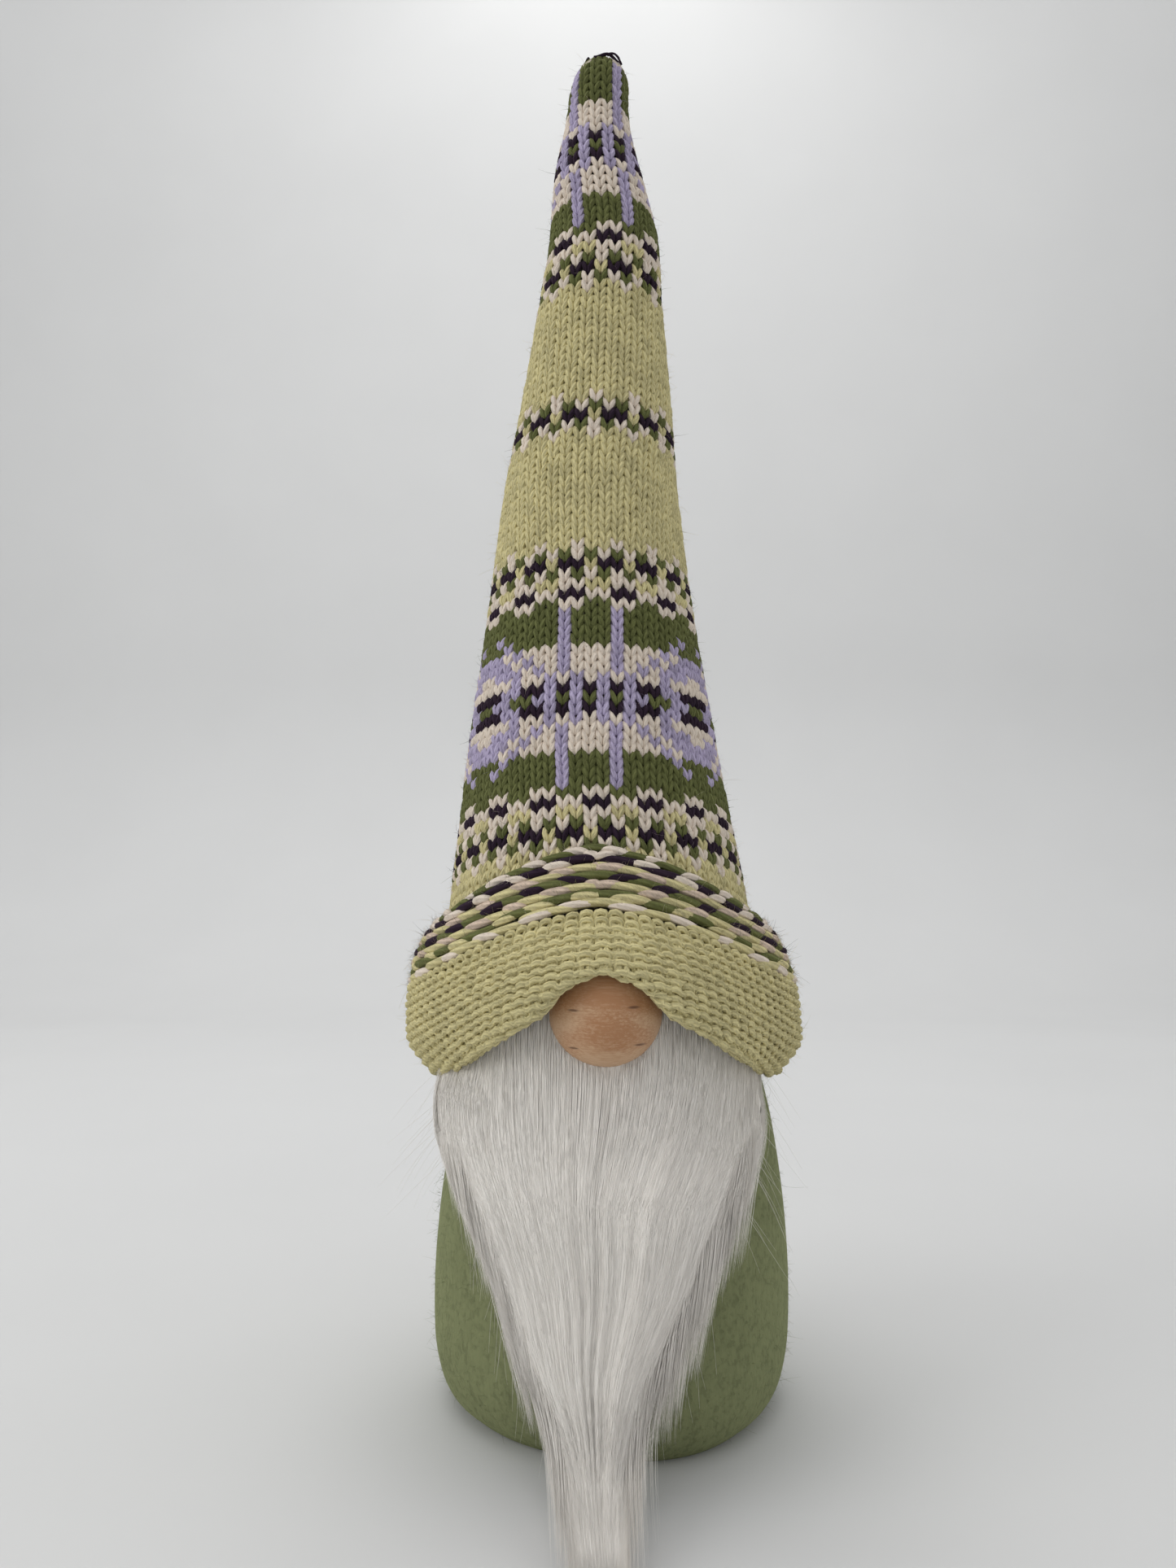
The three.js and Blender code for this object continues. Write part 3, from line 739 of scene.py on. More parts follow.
class Knitting:
    """Heaps of loops, one set for each yarn, cut into pieces of a fair size."""

    LIMIT = 185_000

    def __init__(self, name):
        self.name = name
        self.heaps = {letter: [Heap()] for letter in YARNS}

    def heap(self, letter):
        last = self.heaps[letter][-1]
        if last.triangles > self.LIMIT:
            last = Heap()
            self.heaps[letter].append(last)
        return last

    def add_row(self, paths, up, radius, letters, tones):
        """A row of loops; stitches of one colour that follow each other share their yarn."""
        steps = LOOP_STEPS
        side, lift = frames(paths, up)
        angle = TAU * np.arange(LOOP_SIDES) / LOOP_SIDES
        across = radius[:, None] * np.cos(angle)
        away = radius[:, None] * np.sin(angle)
        rings = paths[:, None] + across[..., None] * side[:, None]
        rings = rings + away[..., None] * lift[:, None]
        run = run_along(paths) + rng.uniform(0, 500)
        yarn = np.stack([np.broadcast_to(run[:, None], across.shape), across, away], -1)
        start = 0
        for end in range(1, len(letters) + 1):
            if end < len(letters) and letters[end] == letters[start]:
                continue
            keep = slice(start * steps, end * steps + 1)
            points = rings[keep]
            count = len(points)
            tone = np.repeat(tones[start:end], steps)
            tone = np.append(tone, tone[-1])
            faces = grid_faces(count, LOOP_SIDES, wrap_cols=True)
            first = np.arange(LOOP_SIDES)[None]
            last = first[:, ::-1] + (count - 1) * LOOP_SIDES
            if letters[start] != " ":
                self.heap(letters[start]).add(
                    points.reshape(-1, 3), [faces, first, last],
                    yarn[keep].reshape(-1, 3), np.repeat(tone, LOOP_SIDES))
                self.add_fuzz(letters[start], paths[keep], up[keep], radius[keep])
            start = end

    def add_fuzz(self, letter, paths, up, radius, more=1.0):
        """Fine fibres that stand off the yarn."""
        count = rng.poisson(len(paths) / LOOP_STEPS * FUZZ * more)
        if not count:
            return
        pick = rng.integers(1, len(paths) - 1, count)
        tangent = unit(paths[pick + 1] - paths[pick - 1])
        side = np.cross(tangent, up[pick])
        spread = rng.normal(0, 0.8, (count, 1))
        away = unit(up[pick] + spread * side)
        base = paths[pick] + away * radius[pick][:, None] * 0.85
        aim = unit(0.55 * away + rng.normal(0, 0.75, (count, 3)))
        curl = rng.normal(0, 0.5, (count, 3))
        size = rng.gamma(3.0, 0.42, count) + 0.4
        s = np.linspace(0, 1, 4)[None, :, None]
        fibres = base[:, None] + size[:, None, None] * (aim[:, None] * s + curl[:, None] * s * s)
        thick = 0.05 * (1 - 0.75 * s[..., 0]) + np.zeros((count, 1))
        add_tubes(self.heap(letter), fibres, thick, np.array([0.3, 0.2, 0.93]), 3,
                  rng.uniform(0.5, 1, count))

    def pieces(self, body, *nodes):
        for letter, heaps in self.heaps.items():
            colour, material = YARNS[letter]
            for number, heap in enumerate(heaps, 1):
                if heap.count:
                    slot = "plum_yarn" if letter == "P" else "knit_wool"
                    name = f"{self.name}_{colour}_{number}"
                    placed(heap.piece(name, material, slot), body, *nodes)


def loop_shape(phase):
    """Sideways, upward and outward place of the yarn within one knit stitch."""
    return (np.sin(2 * phase), np.cos(phase), -np.cos(2 * phase))


def eased_noise(count, steps, size):
    """A random value for each stitch that changes gently along the row."""
    values = rng.normal(0, size, count + 1)
    at = np.arange(count * steps + 1) / steps
    return np.interp(at, np.arange(count + 1), values)


def knit_hat():
    knitting = Knitting("hat_knit")
    for row in range(FIRST_ROW, FIRST_ROW + len(CHART)):
        front = float(along(KNIT_ROWS, row)) + TIP_RISE
        reach = float(hat_reach(front))
        width = mix(STITCH, STITCH_TOP, smooth(255, 315, front))
        middle = along(CHART_MIDDLE, front)
        # rows fall towards the back, where the hat is wider, so they need more stitches
        back = float(hat_reach(front - 2 * row_droop(front)))
        half = int(math.pi * back / width) + 1
        columns = list(range(-half, half + 1))
        count = len(columns)
        q = np.arange(count * LOOP_STEPS + 1) / LOOP_STEPS
        phase = (q % 1 - 0.5) * TAU
        swing, rise, out = loop_shape(phase)
        swing = swing * LEG_SWING * width / STITCH
        arc = (q + columns[0] - 0.5) * width + middle + swing
        arc = arc + eased_noise(count, LOOP_STEPS, 0.14)
        turn = arc / reach
        droop = row_droop(front) * (1 - np.cos(np.clip(turn, -math.pi, math.pi)))
        z = front - droop + rise * LOOP_HALF + eased_noise(count, LOOP_STEPS, 0.22)
        z = np.minimum(z, HAT_TOP - 1.2)
        azimuth = arc / hat_reach(front - droop)
        out = out * YARN_DEPTH + eased_noise(count, LOOP_STEPS, 0.10) - KNIT_MIDDLE
        points = around(azimuth, hat_radius(azimuth, z) + out, z)
        up = np.stack([np.sin(azimuth), -np.cos(azimuth), 0.15 + 0 * azimuth], -1)
        radius = YARN_RADIUS * (1 + eased_noise(count, LOOP_STEPS, 0.04))
        letters = row_colours(row, columns)
        at_middle = azimuth[LOOP_STEPS // 2::LOOP_STEPS][:count]
        z_middle = (front - droop)[LOOP_STEPS // 2::LOOP_STEPS][:count]
        hidden = z_middle < cuff_high(at_middle) - 7
        past_seam = np.abs(at_middle) > math.pi
        letters = [" " if h or p else c for c, h, p in zip(letters, hidden, past_seam)]
        knitting.add_row(points, unit(up), radius, letters, rng.uniform(0, 1, count))
    knitting.pieces("hat", "hat_knit_cone")


knit_hat()

# ---- turned-up cuff -----------------------------------------------------------------------

CUFF_STITCHES = 96
CUFF_OUT = 2.7                 # the outer layer's yarn, outside the hat's outline
CUFF_IN = -KNIT_MIDDLE         # the same sleeve's yarn after the fold, inside it
ROLL = 2.0                     # radius of the rolled upper edge
FOLD = (CUFF_OUT - CUFF_IN) / 2
CUFF_TAIL = 7                  # how far rows go on inside after the fold
PURL_ROWS = 29
# the patterned rows under the rolled edge, seen from their back: the yarn of the short
# floats, the yarn of the long ones and where the short ones start, in repeats
FLOAT_ROWS = [
    ("W", "G", 0.40), ("W", "P", 0.0), ("M", "L", 0.22), ("P", "G", 0.42), ("M", "L", 0.12),
    ("L", "G", 0.72), ("W", "L", 0.55),
]
FLOAT_REPEAT = 4               # stitches


def fold_tuck(azimuth, z):
    """How far the fold at the foot of the cuff curls in towards the body at the sides."""
    side = smooth(20, 75, np.abs(np.degrees(azimuth)))
    return 5.5 * side * smooth(13, 0, z - cuff_edge(azimuth)) ** 1.5


def cuff_edge(azimuth):
    """Foot of the cuff: it arches over the nose and falls to the sides."""
    turn = np.abs(np.degrees(azimuth))
    return 99.3 + 36 * np.exp(-(turn / 38) ** 1.35) + 4 * smooth(14, 7, turn)


def cuff_section(azimuth, run):
    """Offset, height and outward direction `run` mm along the cuff, from the roll's inside."""
    high, low = cuff_high(azimuth), cuff_edge(azimuth)
    roll_run, fold_run = math.pi * ROLL, math.pi * FOLD
    face = high - low - ROLL - FOLD
    in_roll = np.clip(run, 0, roll_run) / ROLL
    on_face = np.clip(run - roll_run, 0, face)
    in_fold = np.clip(run - roll_run - face, 0, fold_run) / FOLD
    after = np.clip(run - roll_run - face - fold_run, 0, None)
    # the face leans out a little in its middle
    share = on_face / np.maximum(face, 1)
    belly = 0.5 * np.sin(math.pi * share)
    offset = CUFF_OUT - ROLL - ROLL * np.cos(in_roll) + belly
    z = high - ROLL + ROLL * np.sin(in_roll) - on_face
    offset = offset - FOLD + FOLD * np.cos(in_fold)
    z = z - FOLD * np.sin(in_fold) + after
    offset = offset - fold_tuck(azimuth, z)
    angle = np.where(run < roll_run, math.pi - in_roll, -in_fold)
    return offset, z, np.cos(angle), np.sin(angle)


def cuff_limit(azimuth):
    face = cuff_high(azimuth) - cuff_edge(azimuth) - ROLL - FOLD
    return math.pi * (ROLL + FOLD) + face + CUFF_TAIL


def cuff_points(azimuth, run, out):
    offset, z, out_r, out_z = cuff_section(azimuth, run)
    radius = hat_radius(azimuth, z) + offset + out * out_r
    points = around(azimuth, radius, z + out * out_z)
    up = np.stack([np.sin(azimuth) * out_r, -np.cos(azimuth) * out_r, out_z + 0 * azimuth], -1)
    return points, unit(up)


def cuff_turn(stitch):
    """Azimuth of a stitch counted from the front; stitches are as wide all the way round."""
    turn = np.linspace(-math.pi, math.pi, 721)
    radius = hat_radius(turn, cuff_edge(turn) + 12) + CUFF_OUT
    run = np.concatenate([[0], np.cumsum((radius[1:] + radius[:-1]) / 2 * np.diff(turn))])
    run = (run / run[-1] - 0.5) * CUFF_STITCHES
    wide = np.floor(stitch / CUFF_STITCHES + 0.5)
    return np.interp(stitch - wide * CUFF_STITCHES, run, turn) + wide * TAU


def cuff_pitch(azimuth):
    """Distance between rows: pressed together in front, looser at the sides."""
    return 2.65 - 0.5 * np.exp(-(np.degrees(azimuth) / 40) ** 2)


def cuff_run(row, azimuth):
    """Where a row lies; the patterned rows are thicker than the plain ones below them."""
    patterned = min(row, len(FLOAT_ROWS) - 0.5)
    float_pitch = 2.95 - 0.35 * np.exp(-(np.degrees(azimuth) / 40) ** 2)
    plain = (row - patterned) * cuff_pitch(azimuth)
    return math.pi * ROLL * 0.66 + patterned * float_pitch + plain


def knit_cuff():
    knitting = Knitting("cuff_knit")
    for row, (short, long, shift) in enumerate(FLOAT_ROWS):
        add_floats(knitting, row, long, shift + 0.5, 2.35, 0.15, 5)
        add_floats(knitting, row, short, shift, 1.6, 0.5, 2.6)
    count = CUFF_STITCHES
    columns = np.arange(count) - count // 2
    q = np.arange(count * LOOP_STEPS + 1) / LOOP_STEPS
    phase = (q % 1 - 0.5) * TAU
    swing, rise, out = loop_shape(phase)
    for row in range(len(FLOAT_ROWS) + 1, len(FLOAT_ROWS) + PURL_ROWS):
        stitch = q + columns[0] - 0.5 + swing * LEG_SWING / STITCH
        azimuth = cuff_turn(stitch + eased_noise(count, LOOP_STEPS, 0.035))
        half = cuff_pitch(azimuth) + 0.22
        run = cuff_run(row, azimuth) - rise * half + eased_noise(count, LOOP_STEPS, 0.2)
        head = 0.14 * np.cos(phase)
        depth = head - out * 0.85 + eased_noise(count, LOOP_STEPS, 0.14)
        points, up = cuff_points(azimuth, run, depth)
        radius = 0.98 * (1 + 0.05 * np.cos(phase) + eased_noise(count, LOOP_STEPS, 0.05))
        mid_turn = cuff_turn(columns + 0.0)
        gone = cuff_run(row, mid_turn) > cuff_limit(mid_turn)
        letters = [" " if g else "L" for g in gone]
        knitting.add_row(points, up, radius, letters, rng.uniform(0, 1, count))
    knitting.pieces("hat", "hat_cuff")


def add_floats(knitting, row, letter, shift, half, depth, blunt):
    """Strands that float across the back of the pattern, laid end over end."""
    count = CUFF_STITCHES // FLOAT_REPEAT
    s = np.linspace(-1, 1, 17)[None, :]
    middle = (np.arange(count)[:, None] + shift) * FLOAT_REPEAT - CUFF_STITCHES / 2
    middle = middle + rng.normal(0, 0.28, (count, 1))
    stitch = middle + s * half * rng.uniform(0.84, 1.2, (count, 1))
    azimuth = cuff_turn(stitch)
    slant = rng.normal(0.6, 0.4, (count, 1))
    run = cuff_run(row, azimuth) - slant * s * np.sign(np.sin(azimuth) + 0.01)
    run = run + rng.normal(0, 0.25, (count, 1)) + 0.2 * (s ** 2)
    lift = depth + 0.35 - 1.3 * s ** 4 + rng.normal(0, 0.08, (count, 1))
    points, up = cuff_points(azimuth, run, lift)
    taper = np.sqrt(np.clip(1.02 - np.abs(s) ** blunt, 0.03, 1))
    thick = rng.uniform(1.2, 1.5, (count, 1)) * taper
    thick = thick * (0.8 + 0.2 * cuff_pitch(azimuth) / 2.85)
    heap = knitting.heap(letter)
    add_tubes(heap, points, thick, up, 8, rng.uniform(0.3, 1, count))
    for path, normal, size in zip(points, up, thick):
        knitting.add_fuzz(letter, path, normal, size, 6.0)


knit_cuff()


LINING_OUTSIDE = 2.1           # depth of its two faces under the hat's outline
LINING_INSIDE = 3.3


def add_hat_lining():
    """The fabric behind the loops: what shows between stitches and inside the hat; its very dark
    colour is painted shade.
    """
    heap = Heap()
    sides = 144
    azimuth = TAU * np.arange(sides)[None, :] / sides
    azimuth = (azimuth + math.pi) % TAU - math.pi
    share = np.linspace(0, 1, 130)[:, None]
    top = HAT_TOP - 2.4
    z = mix(top, cuff_edge(azimuth) + 5, share)
    wave = 0.25 * np.cos(azimuth * 60) + 0.3 * np.cos(z * TAU / 2.9)
    tuck = fold_tuck(azimuth, z)
    outer = around(azimuth, hat_radius(azimuth, z) - LINING_OUTSIDE - tuck, z)
    inner = around(azimuth, hat_radius(azimuth, z) - LINING_INSIDE - tuck + wave, z)
    crown = np.zeros((1, sides, 3)) + np.array([float(hat_middle(HAT_TOP)), 0, top + 0.4])
    add_shell(heap, np.concatenate([crown, outer]), np.concatenate([crown - [0, 0, 1], inner]))
    # very dark olive tones: painted shade seen through the gaps between stitches and inside the hat
    material = grainy_material("lining_painted_shade", (0.2, 0.19, 0.14), (0.08, 0.075, 0.06), 1.0,
                               roughness=0.95, depth=0.0006)
    placed(heap.piece("hat_inner_layer", material, "knit_wool"), "hat", "hat_knit_cone")


add_hat_lining()


def add_tip_thread():
    """The gathering yarn on the crown and its end, which loops over the right edge."""
    middle = float(hat_middle(HAT_TOP))
    turn = np.linspace(-0.5, TAU - 0.9, 40)
    ring = np.stack([middle + 6.2 * np.sin(turn), -6.2 * np.cos(turn),
                     HAT_TOP - 1.6 + 0.5 * np.sin(5 * turn)], -1)
    heap = Heap()
    add_tubes(heap, ring[None], 0.5, np.array([0, 0, 1.0]), 8)
    s = np.linspace(0, 1, 20)[:, None]
    for start, over, end in (
        ((-1.8, -5.4, 451.6), (2.6, -5.6, 454.4), (4.2, -5.0, 448.6)),
        ((-0.6, -5.8, 451.4), (2.2, -6.2, 453.2), (3.4, -6.4, 449.4)),
    ):
        start, over, end = (np.array(p) for p in (start, over, end))
        path = (1 - s) ** 2 * start + 2 * s * (1 - s) * over + s ** 2 * end
        path = path + 0.12 * np.sin(9 * s + start[0])
        add_tubes(heap, path[None], 0.34, np.array([0, -1.0, 0.1]), 6)
    thread = heap.piece("tip_thread", YARNS["P"][1], "plum_yarn")
    placed(thread, "hat", "tip_gather_yarn")


add_tip_thread()

# ---- beard --------------------------------------------------------------------------------

ROOT_SHARE = -0.42             # where the pile starts under the cuff
STRAND_STEPS = 10
LOWEST = 0.35                  # lowest place of the pile over the floor
LEFTMOST = -76.5               # stray hairs reach no further to this side
ridges = Ripple(31, 9, 9, 60, 0.8)
fine_ridges = Ripple(32, 9, 40, 170, 1.2)


def wrap(x, radius):
    return radius - np.sqrt(np.maximum(radius * radius - x * x, 0))


def pile_point(u, v, depth):
    """u runs across (-1 to 1), v down the pile, depth from its back (0) to its front (1)."""
    down = np.clip(v, 0, 1)
    y_back, z_back, y_front, z_front, half, middle = (
        along(PILE, down, col) for col in range(1, 7))
    x = middle + u * half
    curl = wrap(np.clip(x, -52, 52), -y_back) * smooth(1, 0.7, down)
    edge = np.clip(1 - np.abs(u) ** 4, 0, 1)
    thick = (y_back - y_front) * edge + 2.5 * (1 - edge)
    flap = np.stack([x, y_back + curl - depth * thick, mix(z_back, z_front, depth)], -1)
    past = np.maximum(v - 1, 0)[..., None]
    flap = flap + past * np.array([0, -60.0, -3.0])
    turn = 61 * u - 0.5
    azimuth = np.radians(turn)
    z = 96 - v * 84 + 3 * (1 - depth)
    full = 51.5 + 15 * np.exp(-(turn / 34) ** 2) + 10 * smooth(0.1, -0.9, u)
    full = full - 5 * smooth(102, 114, z) * smooth(-0.35, -0.8, u)
    full = np.maximum(full, body_radius(z) + 4)
    radius = mix(body_radius(z) + 1.5, full, depth)
    root = np.stack([radius * np.sin(azimuth), -radius * np.cos(azimuth), z], -1)
    share = smooth(-0.2, 0.14, v)[..., None]
    return mix(root, flap, share)


def ridge_height(u, v):
    fade = smooth(-0.35, 0.1, v) * (1 - 0.5 * smooth(0.8, 1, v))
    return (0.28 * ridges(u, v) + 0.05 * fine_ridges(u, v)) * fade


def pile_surface(u, v, depth):
    """The pile's surface with its locks standing proud."""
    point = pile_point(u, v, depth)
    lift = ridge_height(u, v) * np.clip(depth, 0, 1)
    point[..., 1] -= lift
    return behind_nose(point)


def behind_nose(points):
    """Pushes points out of the bead's ball, mostly to the back."""
    away = points - NOSE
    distance = np.linalg.norm(away, axis=-1, keepdims=True)
    aim = unit(away * [1, 0.4, 1] + [0, 14, 0])
    inside = np.maximum(NOSE_RADIUS - 0.5 - distance, 0)
    moved = points + aim * inside * 1.6
    moved[..., 2] = np.maximum(moved[..., 2], LOWEST)
    return moved


def beard_piece(name, heap):
    made = heap.piece(name, FUR, "beard_pile")
    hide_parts("beard_root_pile", "beard_flap_pile")
    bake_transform(made)


def add_beard_core():
    rows, cols = 200, 180
    v = np.linspace(ROOT_SHARE, 0.985, rows)[:, None]
    u = np.linspace(-1, 1, cols)[None, :]
    u, v = np.broadcast_arrays(u, v)
    front = pile_surface(u, v, np.full(u.shape, 0.935))
    back = behind_nose(pile_point(u, v, np.full(u.shape, 0.14)))
    yarn = np.stack([v * 110, u * 40, 0 * u], -1)
    both = np.concatenate([yarn, yarn[::-1]]).reshape(-1, 3)
    heap = Heap()
    add_shell(heap, front, back, closed_round=False, yarn=both)
    beard_piece("beard_underfur", heap)


def add_strands(heap, u, v0, v1, depth, thick, sway, hang=0.0):
    """Tapered strands down the pile; u, v0, v1 and depth hold (start, end) for each."""
    s = np.linspace(0, 1, STRAND_STEPS)[None, :]
    count = len(v0)
    v = mix(v0[:, None], v1[:, None], s)
    across = mix(u[0][:, None], u[1][:, None], s ** 1.6)
    deep = mix(depth[0][:, None], depth[1][:, None], s ** 1.5)
    points = pile_surface(across, v, deep)
    points[..., 0] = mix(points[..., 0], points[:, :1, 0], hang)
    bend = rng.normal(0, 1, (count, 1, 3)) * sway * np.sin(math.pi * s)[..., None]
    bend = bend * np.array([1, 0.2, 1])
    points = points + bend
    points[..., 2] = np.maximum(points[..., 2], LOWEST)
    width = thick * rng.uniform(0.6, 1.3, (count, 1))
    radius = width * np.clip(np.minimum(1, 6 * s + 0.3) * (1.02 - s ** 2.2), 0.12, 1)
    sideways = 0.012 * points[..., 0] + 1.4 * across * np.abs(across) ** 3
    out = np.stack([sideways, -np.ones_like(sideways), 0.1 * np.ones_like(sideways)], -1)
    tone = rng.uniform(0, 1, count)
    add_tubes(heap, points, radius, unit(out), 3, tone, flat=0.3)


def pile_strands(name, count):
    """The coat itself: strands that lie close, with crisp ends at different heights."""
    heap = Heap()
    v0 = rng.uniform(ROOT_SHARE, 0.74, count)
    v1 = np.minimum(v0 + rng.uniform(0.4, 0.8, count), 1.03 + rng.normal(0, 0.03, count))
    u0 = np.sign(rng.uniform(-1, 1, count)) * rng.uniform(0, 1, count) ** 0.8
    side = np.abs(u0) > 0.95
    u0 = np.where(side, np.sign(u0) * rng.uniform(0.97, 1.0, count), u0)
    lock = np.round(u0 * 30 + rng.normal(0, 0.3, count)) / 30
    right = smooth(0.5, 0.98, u0)
    u1 = mix(u0, lock, 0.35) + rng.normal(0, 0.02, count) + right * rng.uniform(0, 0.1, count)
    depth0 = rng.uniform(0.945, 0.97, count) + 0.04 * smooth(0.8, 1, np.abs(u0))
    depth0 = np.where(side, rng.uniform(0.15, 1.1, count), depth0)
    depth1 = depth0 + rng.normal(0.004, 0.005, count)
    add_strands(heap, (u0, u1), v0, v1, (depth0, depth1), 0.1, 0.12)
    beard_piece(name, heap)


def edge_locks(name, side, locks, hang):
    """Pointed locks that hang straighter than the pile's edge, so their tips stand past it."""
    heap = Heap()
    for start in np.linspace(-0.05, 0.8, locks):
        count = int(rng.integers(50, 90))
        start = start + rng.normal(0, 0.02)
        half = float(along(PILE, np.clip(start, 0, 1), 5))
        middle = rng.uniform(0.82, 0.95)
        u0 = side * np.clip(middle + rng.normal(0, 1.3 / half, count), 0.7, 0.99)
        u1 = side * middle + rng.normal(0, 0.4 / half, count)
        v0 = start + rng.normal(0, 0.03, count)
        v1 = start + rng.uniform(0.18, 0.3) - np.abs(rng.normal(0, 0.04, count))
        depth0 = rng.uniform(0.94, 0.99, count)
        depth1 = rng.uniform(0.8, 1.0, count)
        add_strands(heap, (u0, u1), v0, np.minimum(v1, 1.02), (depth0, depth1), 0.1, 0.12,
                    rng.uniform(0.3, 1.0) * hang)
    beard_piece(name, heap)


def stray_hairs():
    """Single hairs that stand off: beside the cuff's foot and along both edges."""
    heap = Heap()
    s = np.linspace(0, 1, 12)[None, :, None]
    for count, side, v, aim, reach in (
        (26, -1, (-0.2, 0.14), (-0.8, -0.25, -0.75), (8, 24)),
        (26, 1, (-0.2, 0.2), (0.7, -0.2, -0.9), (8, 24)),
        (50, -1, (0.2, 0.85), (-0.02, -0.1, -1.0), (6, 18)),
        (60, 1, (0.2, 0.85), (0.04, -0.1, -1.0), (8, 22)),
    ):
        base = pile_surface(side * rng.uniform(0.86, 1.0, count), rng.uniform(*v, count),
                            rng.uniform(0.3, 0.9, count))
        way = unit(np.array(aim) + rng.normal(0, 0.08, (count, 3)))
        bend = rng.normal(0, 0.1, (count, 3)) + np.array([0, -0.05, -0.2])
        length = rng.uniform(*reach, count)[:, None, None]
        path = base[:, None] + length * (way[:, None] * s + bend[:, None] * s * s)
        path[..., 2] = np.maximum(path[..., 2], 1.0)
        path[..., 0] = np.maximum(path[..., 0], LEFTMOST)
        radius = 0.05 * (1 - 0.7 * s[..., 0]) + np.zeros((count, 1))
        add_tubes(heap, path, radius, np.array([0.02, -1.0, 0.1]), 3)
    beard_piece("beard_stray_hairs", heap)


add_beard_core()
for number in range(1, 8):
    pile_strands(f"beard_strands_{number}", 3300)
edge_locks("beard_right_locks", 1, 44, 0.75)
edge_locks("beard_left_locks", -1, 40, 0.5)
stray_hairs()


def add_fur_backing():
    """The cloth backing of the hanging fur: a shield-shaped sheet."""
    v = np.linspace(0, 1, 60)[:, None]
    u = np.linspace(-1, 1, 70)[None, :]
    half = mix(42, 7, v ** 1.1)
    x = u * half - 3.5 * v
    z = mix(96.5, 28, v) + 0 * u
    back = body_radius(z) + 1.2 + 2.3 * smooth(97, 85, z)
    y = -np.sqrt(np.maximum(back * back - x * x, 1)) + 0.25 * np.sin(0.35 * z + 0.2 * x)
    inner = np.stack([x, y, z], -1)
    outer = inner + np.array([0, -1.3, 0])
    heap = Heap()
    add_shell(heap, outer, inner, closed_round=False)
    material = woven_material("fur_backing", (0.62, 0.6, 0.57), (0.4, 0.38, 0.35), 1.1)
    backing = heap.piece("beard_backing", material, "fur_backing")
    placed(backing, "beard", "beard_flap_backing")


add_fur_backing()

# ---- nose ---------------------------------------------------------------------------------


def add_nose():
    bore, flat = 2.0, 15.6
    edge = math.acos(flat / NOSE_RADIUS)
    arc = np.linspace(edge, math.pi - edge, 72)
    ball = np.stack([NOSE_RADIUS * np.sin(arc), NOSE_RADIUS * np.cos(arc)], 1)
    rim = np.array([[bore, flat - 0.5], [bore + 0.15, flat - 0.1], [bore + 0.5, flat]])
    profile = np.concatenate([rim, ball, (rim * [1, -1])[::-1]])
    points = turned_points(profile, 128)
    points = np.stack([points[..., 2], points[..., 1], -points[..., 0]], -1) + NOSE
    heap = Heap()
    faces = grid_faces(len(profile), 128, wrap_cols=True, wrap_rows=True)
    heap.add(points.reshape(-1, 3), [faces])
    placed(heap.piece("wooden_nose", WOOD, "maple"), "body", "nose_bead")


add_nose()

# ---- base, threads and twine --------------------------------------------------------------


def lathe_piece(name, profile, sides, material, slot, body, nodes, bend=None):
    """A closed turned solid; the profile runs from the top of the axis to its bottom."""
    heap = Heap()
    points = turned_points(np.array(profile, float), sides, bend)
    faces = [grid_faces(len(profile), sides, wrap_cols=True)]
    heap.add(points.reshape(-1, 3), faces)
    return placed(heap.piece(name, material, slot), body, *nodes)


def add_base():
    rim = [[0, 2.1], [20, 2.1], [40, 2.05], [42.6, 1.9], [43.5, 1.4], [43.6, 0.8], [43.2, 0.2],
           [42.4, 0.0], [20, 0.0], [0, 0.0]]
    soft = Ripple(41, 6, 5, 40)

    def bend(azimuth, radius, height):
        spread = 0.25 * soft(azimuth, 0) + foot_bulge(azimuth, 0)
        return radius + spread * (radius > 30), height

    lathe_piece("felt_base", rim, 192, FELT, "felt", "body", ["base_disc"], bend)
    stitch_ring()


def stitch_ring():
    """Overhand stitches that join the sack to its base."""
    count = 54
    turn = TAU * np.arange(count)[:, None] / count + rng.normal(0, 0.01, (count, 1))
    s = np.linspace(0, 1, 9)[None, :]
    angle = -0.3 + 3.1 * s
    radius = 44.3 + foot_bulge(turn, 0) + 1.7 * np.cos(angle)
    z = 1.8 + 1.7 * np.sin(angle) + 0 * turn
    spin = turn + 0.028 * s
    paths = np.stack([radius * np.sin(spin), -radius * np.cos(spin), z], -1)
    heap = Heap()
    add_tubes(heap, paths, 0.32, np.array([0.1, 0.1, 1.0]), 6)
    placed(heap.piece("base_stitches", THREAD, "sewing_thread"), "body", "base_seam_thread")


def seam_stitches():
    """Running stitches up the back of the sack."""
    count = 34
    s = np.linspace(0, 1, 8)[None, :]
    z = np.linspace(6, 136, count)[:, None] + 2.4 * s
    y = body_radius(z) - 0.75 + 0.75 * np.sin(math.pi * s)
    paths = np.stack([0.12 * np.sin(9 * z), y, z], -1)
    heap = Heap()
    add_tubes(heap, paths, 0.3, np.array([0.0, 1.0, 0.1]), 6)
    placed(heap.piece("back_stitches", THREAD, "sewing_thread"), "body", "back_seam_thread")


def twisted_twine(name, path, up, radius, body, node):
    """Three plies laid round a path."""
    heap = Heap()
    side, lift = frames(path, up)
    run = run_along(path)
    for ply in range(3):
        angle = run / (2.2 * radius) + ply * TAU / 3
        offset = side * np.cos(angle)[:, None] + lift * np.sin(angle)[:, None]
        add_tubes(heap, (path + offset * radius * 0.5)[None], radius * 0.56, up, 7)
    placed(heap.piece(name, TWINE, "twine"), body, node)


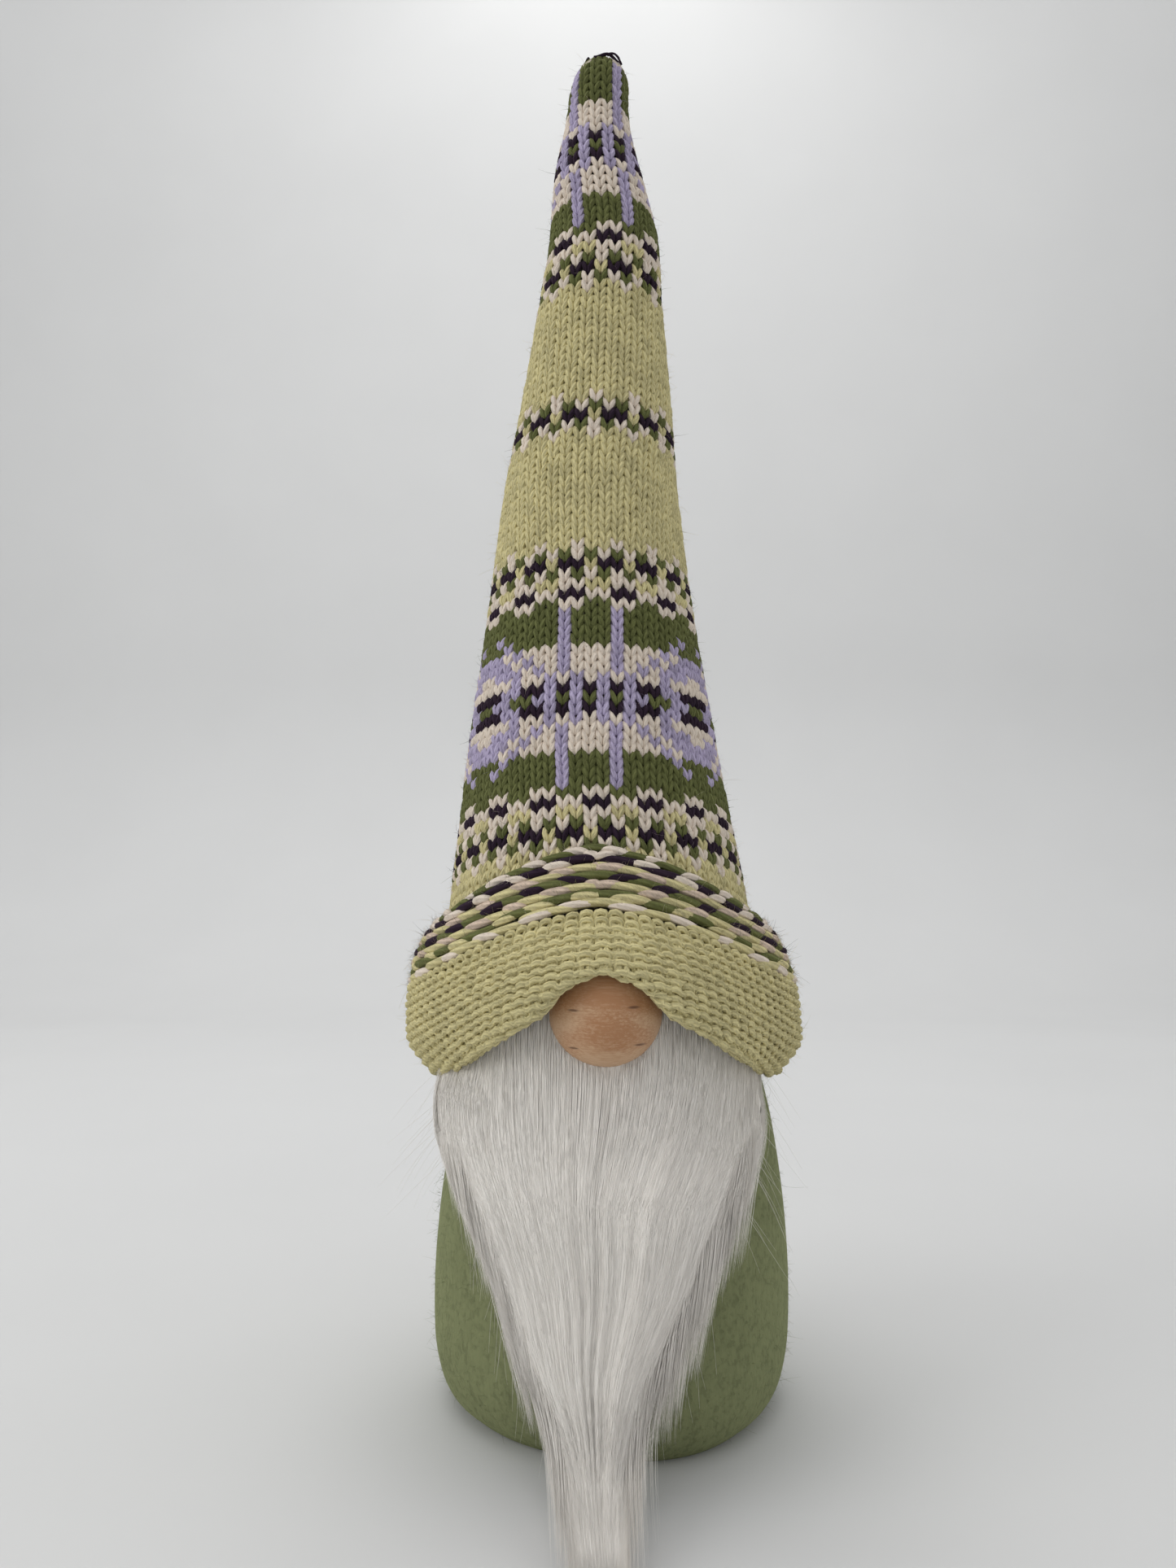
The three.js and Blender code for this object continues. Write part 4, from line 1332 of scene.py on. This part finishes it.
def add_neck_tie():
    """Twine wound twice round the gathered neck and knotted at the back."""
    turn = np.linspace(0, 2 * TAU, 260)
    radius = 13.4 + 0.25 * np.sin(7 * turn)
    wound = np.stack([radius * np.sin(turn), radius * np.cos(turn), 165.6 + 2.6 * turn / TAU / 2], -1)
    s = np.linspace(0, TAU * 0.94, 70)
    knot = np.stack([2.4 * np.sin(2 * s), 15.0 + 1.3 * np.cos(3 * s), 166.9 + 2.0 * np.sin(s)], -1)
    path = np.concatenate([wound, knot])
    twisted_twine("neck_twine", path, np.array([0, 0.02, 1.0]), 1.05, "body", "neck_tie")


THREAD = grainy_material("sewing_thread", linear(150, 156, 112), linear(104, 110, 74), 0.25)
TWINE = grainy_material("twine", linear(214, 196, 160), linear(150, 128, 92), 0.3)
add_base()
seam_stitches()
add_neck_tie()

# ---- filling ------------------------------------------------------------------------------

FIBRE = grainy_material("fibrefill", (0.9, 0.9, 0.89), (0.7, 0.7, 0.69), 2.2, depth=0.0015)
MUSLIN = woven_material("muslin", (0.8, 0.76, 0.66), (0.58, 0.54, 0.45), 0.9)
PELLETS = ballast_material("pellets", (0.82, 0.83, 0.84), (0.45, 0.46, 0.48), 3.2)
GLUE = Shader("hot_glue", 0.25, Transmission_Weight=0.3)
GLUE = GLUE.finish(GLUE.mixed(GLUE.noise(GLUE.place(), 300), (0.7, 0.66, 0.55),
                              (0.86, 0.84, 0.76)))
CARD = grainy_material("card", linear(168, 142, 108), linear(128, 104, 76), 0.8)
POUCH = [
    [4.8, 42], [8, 50], [20, 53], [33, 50], [41, 36], [45.5, 14], [48, 7], [52.5, 7], [57, 9.5],
]
tufts = Ripple(51, 9, 3, 26, 0.3)


def tufted(amount, spread):
    def bend(azimuth, radius, height):
        lump = amount * tufts(azimuth, height * spread)
        return np.maximum(radius - amount * 1.2 + lump, 0), height
    return bend


def add_filling():
    height = np.linspace(151.5, 38.5, 60)
    outer = np.stack([body_radius(height) - 2.6, height], 1)
    outer[0, 0] *= 0.8
    hollow = [[46, 38.2], [50, 30], [57.5, 13.5], [58.6, 6], [59.2, 0]]
    profile = [[0, 152.2], [8, 152.1], *outer, *[[r, z] for z, r in hollow]]
    stuffing = lathe_piece("body_filling", profile, 96, FIBRE, "fibrefill", "body",
                           ["body_stuffing"], tufted(0.5, 0.25))


def add_pouch():
    height = np.linspace(POUCH[-1][0], POUCH[0][0], 60)
    outer = np.stack([along(POUCH, height), height], 1)
    crease = Ripple(52, 6, 6, 22, 0.1)

    def bend(azimuth, radius, height):
        gather = smooth(34, 50, height)
        pleats = (0.4 + 0.9 * gather) * np.cos(14 * azimuth + 0.8 * np.sin(2 * azimuth)) * gather
        return radius - 0.7 + 0.5 * crease(azimuth, height) + pleats, height

    profile = np.concatenate([[[0, 56.4]], outer, [[0, 4.4]]])
    pouch = lathe_piece("ballast_bag", profile, 96, MUSLIN, "muslin", "body",
                        ["ballast_pouch"], bend)


def add_hat_filling():
    crown, foot, inset = 438, 186, 4.6
    height = np.linspace(crown, foot, 80)
    sides = 72
    azimuth = TAU * np.arange(sides)[None, :] / sides
    z = height[:, None] + 0 * azimuth
    lump = 0.45 * tufts(azimuth, z * 0.2)
    outer = around(azimuth, hat_reach(z) - inset + lump, z)
    middle = np.array([float(hat_middle(crown)), 0.0, crown + 0.4])
    top = np.zeros((1, sides, 3)) + middle
    share = np.linspace(0.97, 0.5, 6)[:, None]
    ring = around(azimuth, (float(hat_reach(foot)) - inset) * share, foot - 0.4 + 0 * share)
    last = np.zeros((1, sides, 3)) + np.array([float(hat_middle(foot)), 0.0, foot + 1.0])
    points = np.concatenate([top, outer, ring, last])
    heap = Heap()
    heap.add(points.reshape(-1, 3), [grid_faces(len(points), sides, wrap_cols=True)])
    filling = placed(heap.piece("hat_filling", FIBRE, "fibrefill"), "hat", "hat_stuffing")


add_filling()
add_pouch()
add_hat_filling()


def paint(material, *nodes):
    for node in nodes:
        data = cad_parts[node].data
        data.materials.clear()
        data.materials.append(material)


paint(PELLETS, "ballast_fill")
paint(CARD, "base_stiffener")
paint(TWINE, "pouch_tie")
paint(GLUE, "beard_glue_strip", "nose_glue_dab")
paint(woven_material("root_backing", (0.62, 0.6, 0.57), (0.4, 0.38, 0.35), 1.1),
      "beard_root_backing")
paint(THREAD, "hat_seam_thread")
